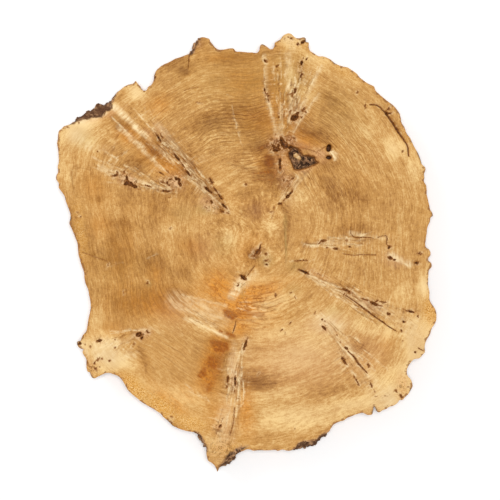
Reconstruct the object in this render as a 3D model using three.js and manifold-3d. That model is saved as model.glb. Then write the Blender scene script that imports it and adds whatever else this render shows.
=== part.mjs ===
// A slab sawn straight across a burl: two flat sawn faces, and between them the burl's own
// lumpy edge, with bark left on it in places. The upper face has a pocket of ingrown bark,
// two round knot holes, a crack that runs along the right rim, and the larger pits and
// checks of the pin knots. It grew as one piece, so it is one solid.
//
// Millimetres, +Z up. The slab lies on its lower sawn face. The origin is below the middle
// of the slab, at the level that it rests on, and +Y runs along its longest side.

import * as THREE from 'three';
import { mergeVertices } from 'three/addons/utils/BufferGeometryUtils.js';
import Module from 'manifold-3d';

// Driving dimensions
const THICKNESS = 60;
const LONGEST_SPAN = 12;         // between two columns of the edge wall
const ROW_HEIGHTS = [0, 0.09, 0.23, 0.38, 0.53, 0.68, 0.82, 0.93, 1]; // shares of the thickness
const KNOB_SPACING = 26;         // from one burl knob on the edge wall to the next
const RIM_RADIUS = 390;          // of the round wall that the knobs are laid out on
const KNOB_GROOVE = 12;          // how far the grooves between the knobs go in
const UNDERCUT = 5;              // how far the lower sawn face stays inside the upper one
const LEAN_LOBES = 5;            // how often the undercut grows and shrinks round the rim
const BARK_REACH = 34;           // furthest that bark stands out past the sawn edge
const BARK_CRUMBLE = 4;          // how uneven the bark is
const OVERCUT = 2;               // how far a cutter reaches above the face that it cuts
const POCKET_DEPTH = 24;
const KNOT_HOLE_DEPTH = 26;
const CHIP_DROP = 6;             // top of the chip in the pocket, below the upper face
const CUT_TAPER = 0.72;          // width of a pocket or pit at its floor, to that at its mouth
const SEED = 7;

// The upper sawn edge, clockwise as seen from above, in stretches
const LEFT_SIDE = [
  [-319.5, -105], [-323, -85], [-325, -75], [-330, -65], [-332, -53], [-333, -41],
  [-337.5, -28.5], [-344, -6.5], [-345, 5.5], [-346.3, 18], [-350.4, 29], [-358, 47.5],
  [-363, 59.5], [-361, 68.5], [-361, 78], [-365, 90], [-370, 104], [-373.6, 116.3],
  [-384.6, 131.5], [-385, 142], [-390, 148.5], [-390, 154.5], [-386, 164], [-387, 175],
  [-384.6, 184], [-384.8, 195], [-386, 210], [-388, 223], [-386.5, 232], [-385.5, 243],
  [-384, 248.5], [-378, 253.5],
];
const UPPER_LEFT_CORNER = [
  [-376, 256.5], [-364, 261], [-352, 267], [-342, 271.5], [-326, 274.5], [-315, 277.5],
  [-297, 279], [-293, 285.5], [-287.5, 290.5], [-281, 291], [-277.3, 298], [-278, 306],
  [-274.6, 313], [-269, 321], [-266, 327], [-258.9, 332], [-250.7, 339], [-242.5, 343],
  [-231.6, 346], [-226.5, 351], [-222, 345.5], [-216.5, 339.3], [-212.5, 332],
  [-205.6, 331.4], [-201.5, 338.5], [-194.7, 343], [-190.6, 350.7], [-188.5, 364],
  [-185.8, 370.5], [-175.5, 380.7], [-167.3, 385.5], [-156.4, 390.3], [-145.5, 396.4],
  [-134.6, 400], [-125, 403.3], [-117, 406],
];
const TOP_LEFT_KNOB = [
  [-114, 405], [-108.6, 410], [-106, 421], [-100.4, 428], [-98.4, 437.4], [-93.6, 440],
  [-86.7, 440.8], [-80, 438.8], [-75.8, 437.4], [-73, 431.3], [-67.6, 424.4],
  [-62, 418.3], [-58, 415.6],
];
const TOP_SIDE = [
  [-46, 415.6], [-33.3, 417.6], [-25.8, 417.3], [-21.7, 412], [-12.8, 411.2],
  [0.8, 409.8], [22.7, 408.7], [26, 412.8], [28, 423], [30.2, 425.8], [39, 423.8],
  [44.5, 419.7], [49.3, 415.6], [54.8, 417.6], [56.8, 421.7], [58.2, 429.2],
];
const TOP_KNOB = [
  [62.3, 432], [69.8, 436], [74, 442.2], [80.7, 447], [86.9, 449], [93, 447], [97, 443],
  [102, 439], [110, 438.8], [119, 440.2], [122.4, 437.4], [122.6, 431], [127.9, 430],
  [128.5, 421.7], [130.3, 414], [137.4, 408.6], [149.7, 401.4],
];
const UPPER_RIGHT_ARC = [
  [156.6, 401.4], [171.6, 395.6], [184, 386], [200.3, 380], [208.5, 378.6],
  [215.3, 373.8], [226.2, 366.3], [233, 358], [242.6, 350.5], [252, 344.4], [263, 338],
  [264.5, 332.8], [274, 322.8], [286.3, 312.3], [301, 301.4], [309.6, 291.5],
  [314.3, 284.7], [317, 274.7], [318.4, 266.5], [324.6, 255.6], [328.7, 244.7],
  [337, 232.4], [341, 224], [347.8, 210.5], [353.3, 201], [361.5, 179], [367, 173.6],
  [367.6, 168], [365, 160], [365.6, 152], [364.3, 145.5], [369, 137], [370.4, 127],
  [370.4, 117.6], [378, 86], [381.3, 80.7], [382.7, 74],
];
const RIGHT_SIDE = [
  [379, 71], [377, 63], [372.4, 52], [370.4, 38.4], [368.3, 24.7], [369, 9.7],
  [375, 5.6], [378, -0.5], [377.9, -6.7], [373.8, -12], [373.8, -17.6], [379, -21.7],
  [380.6, -25.8], [380, -31.3], [375, -36.7], [373.8, -46], [373, -67], [375.8, -82],
  [376.5, -98.4], [380.6, -106.6], [384.7, -112], [389.5, -121.6], [390.4, -132.5],
  [388.8, -143.4], [380.6, -157], [376.5, -169.4], [369.7, -181], [367, -188.5],
  [366, -196], [366.5, -205], [361.5, -211], [354.6, -218.3], [345, -220],
  [337, -227.5], [332.8, -233.6], [330, -240.4], [329.4, -247.3], [331.4, -254],
  [337, -260.3], [340.3, -267.8], [341, -276], [337, -284.2], [334, -289.6],
];
const LOWER_RIGHT_SIDE = [
  [326, -297.8], [319.8, -304], [314.3, -304], [311, -308.7], [301.4, -315.6],
  [293, -317.6], [289, -321], [279.5, -325], [270.6, -329.2], [268, -328],
  [262.4, -317], [260.4, -325], [258.3, -333.3], [249.5, -334.7], [237.8, -330],
  [231.7, -331.3], [224.9, -333.3], [205.7, -341.5], [200.3, -345.6], [193, -347.5],
  [184, -351], [178.4, -355.2], [173.6, -362], [170.2, -368.2], [166, -371],
  [156.6, -375.7], [149.7, -379.8], [143, -386], [130.6, -388.7], [119.7, -389.3],
  [111.5, -390.7], [106, -394.8], [102, -401], [96.4, -405.7], [89.6, -407.8],
];
const BOTTOM_SIDE = [
  [72, -405.7], [65, -408], [59.6, -406.4], [40, -407], [24, -407], [15, -408],
  [8.9, -405.7], [2, -405], [-3.4, -407], [-13, -411], [-19.8, -415.3], [-28, -421.4],
  [-34.8, -426.2], [-41.7, -429.7], [-48.5, -435], [-54, -441.3], [-59.4, -450.5],
  [-62, -444], [-65, -438], [-70.4, -433], [-78.6, -427.6], [-80.6, -422],
  [-82, -414], [-83.3, -397.5], [-88, -390.7], [-90.8, -382.5], [-96.3, -373.6],
  [-105, -370], [-115.4, -368.6],
];
const LOWER_LEFT_ARC = [
  [-127.7, -366], [-144, -360], [-151, -356.6], [-156.4, -350.4], [-163.2, -344.3],
  [-170, -338.8], [-175.5, -332], [-193.3, -320.4], [-213.8, -308.7], [-234.3, -291.7],
  [-242.5, -283.5], [-250.7, -269], [-256, -261], [-264.3, -254], [-271.5, -251.4],
  [-282.8, -248], [-289.6, -249.3], [-306, -256.8], [-310, -259.3], [-315.6, -258],
  [-319.7, -251.4], [-321, -247.3], [-325, -246], [-327.2, -240.4], [-328.1, -228],
  [-328.6, -218.6], [-333.3, -211.7], [-336.3, -206.3], [-335.4, -202], [-333, -199.5],
  [-338.8, -198.8], [-343.6, -195.4], [-347, -190], [-346.3, -183], [-340.2, -181.7],
  [-338, -175], [-333.3, -168], [-328.6, -162.6], [-326.5, -154.4], [-325, -143.4],
  [-322.4, -131], [-319.7, -119],
];
const SAWN_EDGE = [
  ...LEFT_SIDE, ...UPPER_LEFT_CORNER, ...TOP_LEFT_KNOB, ...TOP_SIDE, ...TOP_KNOB,
  ...UPPER_RIGHT_ARC, ...RIGHT_SIDE, ...LOWER_RIGHT_SIDE, ...BOTTOM_SIDE, ...LOWER_LEFT_ARC,
];

// The outer line of the bark, where it stands out past the sawn edge
const BARK_LINES = [
  [[-388, 223], [-391.7, 238], [-390.7, 244], [-384, 249]],
  [[-380, 250], [-377, 263], [-366, 262.4], [-364, 268], [-350.4, 272], [-345, 279],
    [-344, 288.4], [-339.5, 294], [-332, 297.3], [-316.3, 294], [-311.5, 302],
    [-302.6, 312], [-286.2, 310], [-280, 315.7], [-271, 324.6], [-270.5, 333.5],
    [-258, 332]],
  [[-117, 405], [-118, 415.6], [-117.5, 424], [-110, 434.7], [-103.8, 440],
    [-100.4, 442.6], [-90, 442.6]],
  [[256, -334], [272, -331]],
  [[233, -330], [229, -336], [223.5, -339.5], [215, -340.5], [205, -342]],
  [[172, -365], [170, -382.5], [160.7, -389.3], [148.4, -391.4], [142.2, -399],
    [142.6, -408.5], [134.7, -411.2], [127.9, -407.8], [114.2, -409.2], [95, -411.9],
    [83, -407]],
  [[41, -405], [37.6, -412.6], [29.4, -418], [19.8, -418], [13, -406]],
  [[-6, -406], [-13, -416.7], [-28, -438.5], [-33.5, -442], [-51.2, -444], [-60, -451]],
  [[-80, -405], [-90.8, -403.7], [-97.7, -398.2], [-101, -391.4], [-102.5, -375.7],
    [-107, -368]],
];

// The pocket of ingrown bark, the chip of pale wood that stands in it, and the knot holes
const POCKET = [
  [86, 203], [92, 212], [97, 216], [103, 215], [107.5, 211], [111, 204], [117, 198],
  [131, 197], [140, 194.5], [143.5, 186], [147, 182], [134, 177], [121, 171],
  [106, 168.5], [99, 170], [95.5, 178], [90, 188],
];
const CHIP = [[98, 202], [105, 203], [110, 197], [110, 190], [105, 193], [99, 196]];
const KNOT_HOLES = [
  { centre: [169.5, 213.5], halfWidth: 5, halfHeight: 8.5 },
  { centre: [168.5, 194], halfWidth: 5.6, halfHeight: 5.6 },
];

// Cracks: the middle line, the width at the widest and the depth
const CRACKS = [
  { width: 4, depth: 14, line: [[256, 302.5], [267, 302], [275, 297], [283, 288.5],
    [291, 278], [302, 261.5], [316, 241], [328.7, 222.5], [332, 214], [333, 200]] },
  { width: 3, depth: 8, line: [[204, -89], [233, -109], [260, -130], [288, -150],
    [306, -161.5]] },
  { width: 6, depth: 9, line: [[236, -95], [250, -101], [262, -105.5], [274, -104],
    [287, -103]] },
  { width: 3.6, depth: 8, line: [[213, -207], [225, -220], [231, -230], [248, -248]] },
];

// Pits of the pin knots: the middle, half the length, half the width and how it is turned
const PITS = [
  { centre: [-239, 138], half: [18, 5.5], turned: -22, depth: 9 },
  { centre: [-243, 151], half: [8, 3.5], turned: 80, depth: 8 },
  { centre: [99, 276], half: [8.5, 4.5], turned: 30, depth: 9 },
  { centre: [-220, -169], half: [6.5, 5], turned: 0, depth: 9 },
  { centre: [113.5, 388], half: [6, 3], turned: 75, depth: 8 },
  { centre: [117, 431], half: [6, 2.8], turned: 32, depth: 8 },
  { centre: [295, -12], half: [5.5, 3], turned: -15, depth: 8 },
  { centre: [-302, -182], half: [6, 3], turned: 10, depth: 7 },
  { centre: [-80, 127], half: [8.5, 2.4], turned: -37, depth: 7 },
];
const PIT_SIDES = 10;

// Two whole numbers to a number from 0 to 1, the same on every run
function hash(...numbers) {
  let h = SEED;
  for (const n of numbers) {
    h = Math.imul(h ^ (n | 0), 2654435761);
    h ^= h >>> 15;
  }
  return (h >>> 0) / 4294967296;
}

function smoothStep(x) {
  const t = Math.min(Math.max(x, 0), 1);
  return t * t * (3 - 2 * t);
}

// 1 on top of a burl knob, falling to 0 in the grooves between the knobs
function knobHeight(point) {
  const cell = point.clone().divideScalar(KNOB_SPACING);
  let nearest = Infinity;
  for (let i = -1; i <= 1; i += 1) {
    for (let j = -1; j <= 1; j += 1) {
      for (let k = -1; k <= 1; k += 1) {
        const x = Math.floor(cell.x) + i;
        const y = Math.floor(cell.y) + j;
        const z = Math.floor(cell.z) + k;
        const knob = new THREE.Vector3(
          x + hash(x, y, z, 1), y + hash(x, y, z, 2), z + hash(x, y, z, 3));
        nearest = Math.min(nearest, knob.distanceTo(cell));
      }
    }
  }
  return Math.max(0, 1 - nearest * nearest);
}

// The edge with long spans divided, as points of the plane
function edgeColumns() {
  const columns = [];
  SAWN_EDGE.forEach((from, i) => {
    const start = new THREE.Vector2(...from);
    const end = new THREE.Vector2(...SAWN_EDGE[(i + 1) % SAWN_EDGE.length]);
    const parts = Math.max(1, Math.round(start.distanceTo(end) / LONGEST_SPAN));
    for (let k = 0; k < parts; k += 1) columns.push(start.clone().lerp(end, k / parts));
  });
  return columns;
}

// Where the line from a to b crosses the ray from the origin through p, as a distance
function crossing(p, a, b) {
  const out = p.clone().normalize();
  const span = b.clone().sub(a);
  const across = out.cross(span);
  if (Math.abs(across) < 1e-9) return null;
  const share = -out.cross(a) / across;
  if (share < 0 || share > 1) return null;
  return a.clone().addScaledVector(span, share).dot(out);
}

// How far bark stands out past the sawn edge at a column, away from the middle
function barkReach(column) {
  let reach = 0;
  for (const line of BARK_LINES) {
    for (let i = 0; i + 1 < line.length; i += 1) {
      const at = crossing(column, new THREE.Vector2(...line[i]),
        new THREE.Vector2(...line[i + 1]));
      if (at === null) continue;
      const past = at - column.length();
      if (past > reach && past < BARK_REACH) reach = past;
    }
  }
  return reach;
}

// Each value averaged with its neighbours, round a closed row
function softened(values) {
  const count = values.length;
  return values.map((v, i) => (
    values[(i + count - 1) % count] + 2 * v + values[(i + 1) % count]) / 4);
}

// The slab before anything is cut: the lumpy wall between two flat caps. Every point of the
// wall moves straight out from the middle or in towards it. The relief of the bare burl is
// the same for all points that lie in one direction, so the overhanging knobs of the rim
// never run into each other.
function blankGeometry() {
  const columns = edgeColumns();
  const reach = softened(columns.map(barkReach));
  const count = columns.length;
  const positions = [];
  for (const share of ROW_HEIGHTS) {
    const z = share * THICKNESS;
    const below = smoothStep((1 - share) / 0.2);
    const swell = smoothStep((1 - share) / 0.3) * (1 - 0.45 * smoothStep((0.5 - share) / 0.5));
    const moves = columns.map((column, i) => {
      const lean = 1 + 0.9 * Math.sin(LEAN_LOBES * column.angle());
      const out = column.clone().normalize();
      const knob = knobHeight(new THREE.Vector3(out.x * RIM_RADIUS, out.y * RIM_RADIUS, z));
      const crumble = BARK_CRUMBLE * (hash(i, Math.round(z), 9) - 0.5);
      const bare = -UNDERCUT * lean * (1 - share) - KNOB_GROOVE * (1 - knob) * below;
      const bark = reach[i] * swell + crumble * below;
      const rough = smoothStep(reach[i] / 4);
      return bare * (1 - rough) + bark * rough;
    });
    softened(softened(moves)).forEach((move, i) => {
      const place = columns[i].clone().setLength(columns[i].length() + move);
      positions.push(place.x, place.y, z);
    });
  }
  const indices = [];
  for (let row = 0; row + 1 < ROW_HEIGHTS.length; row += 1) {
    for (let i = 0; i < count; i += 1) {
      const a = row * count + i;
      const b = row * count + ((i + 1) % count);
      // The edge runs clockwise, so the wall's outside is to the left of its direction
      indices.push(a, a + count, b + count, a, b + count, b);
    }
  }
  const cap = (row, upwards) => {
    const first = row * count;
    const contour = [];
    for (let i = 0; i < count; i += 1) {
      contour.push(new THREE.Vector2(positions[3 * (first + i)], positions[3 * (first + i) + 1]));
    }
    for (const [a, b, c] of THREE.ShapeUtils.triangulateShape(contour, [])) {
      const turn = contour[b].clone().sub(contour[a]).cross(contour[c].clone().sub(contour[a]));
      const face = (turn > 0) === upwards ? [a, b, c] : [a, c, b];
      indices.push(...face.map((k) => first + k));
    }
  };
  cap(0, false);
  cap(ROW_HEIGHTS.length - 1, true);
  const geometry = new THREE.BufferGeometry();
  geometry.setAttribute('position', new THREE.Float32BufferAttribute(positions, 3));
  geometry.setIndex(indices);
  return geometry;
}

// A cutter: an outline in the upper face, straight up from it and tapering down to its floor
function recessGeometry(outline, depth, taper = CUT_TAPER, top = THICKNESS + OVERCUT) {
  const points = outline.map(([x, y]) => new THREE.Vector2(x, y));
  if (THREE.ShapeUtils.isClockWise(points)) points.reverse();
  const middle = new THREE.Vector2();
  points.forEach((p) => middle.addScaledVector(p, 1 / points.length));
  const floor = points.map((p) => middle.clone().lerp(p, taper));
  const rings = [[floor, THICKNESS - depth], [points, top]];
  const positions = rings.flatMap(([ring, z]) => ring.flatMap((p) => [p.x, p.y, z]));
  const count = points.length;
  const indices = [];
  for (let i = 0; i < count; i += 1) {
    const j = (i + 1) % count;
    indices.push(i, j, j + count, i, j + count, i + count);
  }
  for (const [a, b, c] of THREE.ShapeUtils.triangulateShape(points, [])) {
    indices.push(a + count, b + count, c + count, a, c, b);
  }
  const geometry = new THREE.BufferGeometry();
  geometry.setAttribute('position', new THREE.Float32BufferAttribute(positions, 3));
  geometry.setIndex(indices);
  return geometry;
}

// The outline of a crack: both sides of its middle line, pointed at the ends
function crackOutline({ line, width }) {
  const points = line.map(([x, y]) => new THREE.Vector2(x, y));
  const sides = [[], []];
  points.forEach((p, i) => {
    const before = points[Math.max(0, i - 1)];
    const after = points[Math.min(points.length - 1, i + 1)];
    const along = after.clone().sub(before).normalize();
    const across = new THREE.Vector2(-along.y, along.x);
    const end = i === 0 || i === points.length - 1;
    if (end) {
      if (i === 0) sides[0].push([p.x, p.y]);
      else sides[1].push([p.x, p.y]);
      return;
    }
    const left = p.clone().addScaledVector(across, width / 2);
    const right = p.clone().addScaledVector(across, -width / 2);
    sides[0].push([left.x, left.y]);
    sides[1].push([right.x, right.y]);
  });
  return [...sides[0], ...sides[1].reverse()];
}

function ellipseOutline(centre, halfLength, halfWidth, turned = 0) {
  const angle = THREE.MathUtils.degToRad(turned);
  const curve = new THREE.EllipseCurve(
    centre[0], centre[1], halfLength, halfWidth, 0, 2 * Math.PI, false, angle);
  return curve.getPoints(PIT_SIDES).slice(0, PIT_SIDES).map((p) => [p.x, p.y]);
}

const wasm = await Module();
wasm.setup();

function solidOf(geometry) {
  geometry.deleteAttribute('normal');
  geometry.deleteAttribute('uv');
  const merged = mergeVertices(geometry, 1e-4);
  return new wasm.Manifold(new wasm.Mesh({
    numProp: 3,
    vertProperties: new Float32Array(merged.attributes.position.array),
    triVerts: new Uint32Array(merged.index.array),
  }));
}

function geometryOf(solid) {
  const mesh = solid.getMesh();
  const geometry = new THREE.BufferGeometry();
  geometry.setAttribute('position', new THREE.BufferAttribute(mesh.vertProperties, 3));
  geometry.setIndex(new THREE.BufferAttribute(mesh.triVerts, 1));
  geometry.computeVertexNormals();
  return geometry;
}

// The pocket with the chip of wood left standing in it
function pocketCutter() {
  const chip = recessGeometry(CHIP, POCKET_DEPTH + OVERCUT, 1, THICKNESS - CHIP_DROP);
  return solidOf(recessGeometry(POCKET, POCKET_DEPTH)).subtract(solidOf(chip));
}

function burlSolid() {
  let slab = solidOf(blankGeometry());
  slab = slab.subtract(pocketCutter());
  for (const { centre, halfWidth, halfHeight } of KNOT_HOLES) {
    const outline = ellipseOutline(centre, halfWidth, halfHeight);
    slab = slab.subtract(solidOf(recessGeometry(outline, KNOT_HOLE_DEPTH)));
  }
  for (const crack of CRACKS) {
    slab = slab.subtract(solidOf(recessGeometry(crackOutline(crack), crack.depth, 0.97)));
  }
  for (const { centre, half, turned, depth } of PITS) {
    const outline = ellipseOutline(centre, half[0], half[1], turned);
    slab = slab.subtract(solidOf(recessGeometry(outline, depth)));
  }
  return slab;
}

// The origin goes under the middle of the slab's box
function centred(geometry) {
  geometry.computeBoundingBox();
  const { min, max } = geometry.boundingBox;
  geometry.translate(-(min.x + max.x) / 2, -(min.y + max.y) / 2, -min.z);
  return geometry;
}

const sawnWood = new THREE.MeshStandardMaterial({
  name: 'burl_wood', color: 0xd6a468, roughness: 0.62, metalness: 0,
});

const slab = new THREE.Mesh(centred(geometryOf(burlSolid())), sawnWood);
slab.name = 'burl_slab';

const burl = new THREE.Group();
burl.name = 'burl';
burl.add(slab);

export default burl;
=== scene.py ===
"""A slab sawn across a burl, lying on its lower sawn face and seen from straight above.

The slab is one closed mesh round the CAD solid's own rows of points: the edge wall between
the two sawn edges with finer knobs and bark, and two sawn faces. Pits, checks and cracks are
real recesses. What the wood looks like at each point, such as its place in the growth rings
or how pale it is, is worked out from the lists below and kept as vertex attributes, which
the material reads.

The lists are in millimetres of the plan, seen from above. The plan's zero is near the
middle of the slab, and MM turns its numbers into the part's metres.
"""

import itertools
import math
import random
from types import SimpleNamespace

import bpy
import numpy as np
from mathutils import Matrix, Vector
from mathutils.geometry import delaunay_2d_cdt
from mathutils.kdtree import KDTree


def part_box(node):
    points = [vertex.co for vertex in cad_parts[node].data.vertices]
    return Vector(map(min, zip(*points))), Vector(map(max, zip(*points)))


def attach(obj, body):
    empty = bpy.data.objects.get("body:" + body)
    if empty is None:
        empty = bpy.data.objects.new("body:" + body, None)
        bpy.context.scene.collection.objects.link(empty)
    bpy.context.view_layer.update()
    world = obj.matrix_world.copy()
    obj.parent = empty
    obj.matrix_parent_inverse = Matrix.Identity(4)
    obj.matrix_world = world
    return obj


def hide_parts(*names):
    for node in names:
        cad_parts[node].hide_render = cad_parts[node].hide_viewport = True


MM = 0.001

# The furthest points of the upper sawn edge on the plan, which tie it to the part's frame
PLAN_RIGHT = 390.4
PLAN_TOP = 449.0

# How bright the studio light makes a white surface that faces up
LIGHT_LEVEL = 1.1

# The photograph's frame: its width in metres at the upper sawn face, the middle of it on the
# plan and the lens
VIEW_WIDTH = 1.025
VIEW_MIDDLE = (7.7, 4.1)
LENS = 100.0

# How fine the mesh is: the rows of the wall, and steps in millimetres
WALL_ROWS = 22
ROWS_CROWDED = 0.18      # how much closer the wall's rows lie near its two edges
WALL_STEP = 2.8
FACE_STEP = 3.8
FLECK_STEP = 1.5
UNDERSIDE_STEP = 11.0

# How often the wall's rows are smoothed at most where they cross, and how near to be looked at
UNTANGLE_ROUNDS = 80
UNTANGLE_REACH = 9

# Factors and shifts that the seeded noise is made with
HASH_STEPS = ((2654435761, 15), (2246822519, 13))

# The map for the bake: scale and lower left corner of both sawn faces, and the wall's strips
UPPER_MAP = (0.83, (0.005, 0.165))
LOWER_MAP = (0.27, (0.745, 0.72))
WALL_STRIPS = 4

# Growth rings
RING_MIDDLE = (20.0, 45.0)
RING_WIDTH = 7.4
RIM_FOLLOWED = 0.85      # how closely the outer rings follow the rim
RIM_SMOOTHED = 61        # over how many half degrees the rim is smoothed for them
RING_BULGES = [          # where a knot pushes them out: x, y, reach and how far
    (118, 190, 55, 20), (70, 215, 30, 8), (-240, 148, 34, 9), (-145, 146, 30, 8), (100, 280, 26, 7),
    (-213, -170, 24, 6), (262, -104, 26, 6), (24, 0, 26, 9), (-70, -230, 40, 7), (-10, 250, 60, -9),
    (-120, 290, 60, 8), (180, -280, 50, 7),
]

# Relief of the edge wall, in millimetres: pimples and knobs of bare wood, fissures and crumbs
# of bark, and how ragged the sawn edges are
PIMPLE_SIZE = 9.0
PIMPLE_DEPTH = 1.8
KNOB_SIZE = 27.0
KNOB_DEPTH = 1.2
FISSURE_SIZE = 11.0
FISSURE_DEPTH = 4.5
BARK_CRUMBLE = 1.6
EDGE_CRUMBLE = 0.7

# Looks of the edge wall and beside it
BARK_SWAY = 9            # how many columns of the wall the side edges of its bark sway
SWAY_BELOW = 12          # how far below the upper edge they sway in full, in millimetres
EDGE_SHARE = 0.35        # how much the upper sawn edge has of the wall's looks
RIM_TINT = 38            # how far inside that edge the golden wood begins, in millimetres

# Depth of a fleck, as a share of its width, and the deepest that one is, in millimetres
FLECK_DEPTH = 0.7
FLECK_DEEPEST = 5.0

# Depth of the bark pocket and height of its lumps, depth of its chip and of the knot holes
POCKET_DEPTH = 17.0
POCKET_LUMPS = 5.0
CHIP_DROP = 6.0
KNOT_HOLE_DEPTH = 24.0

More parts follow.
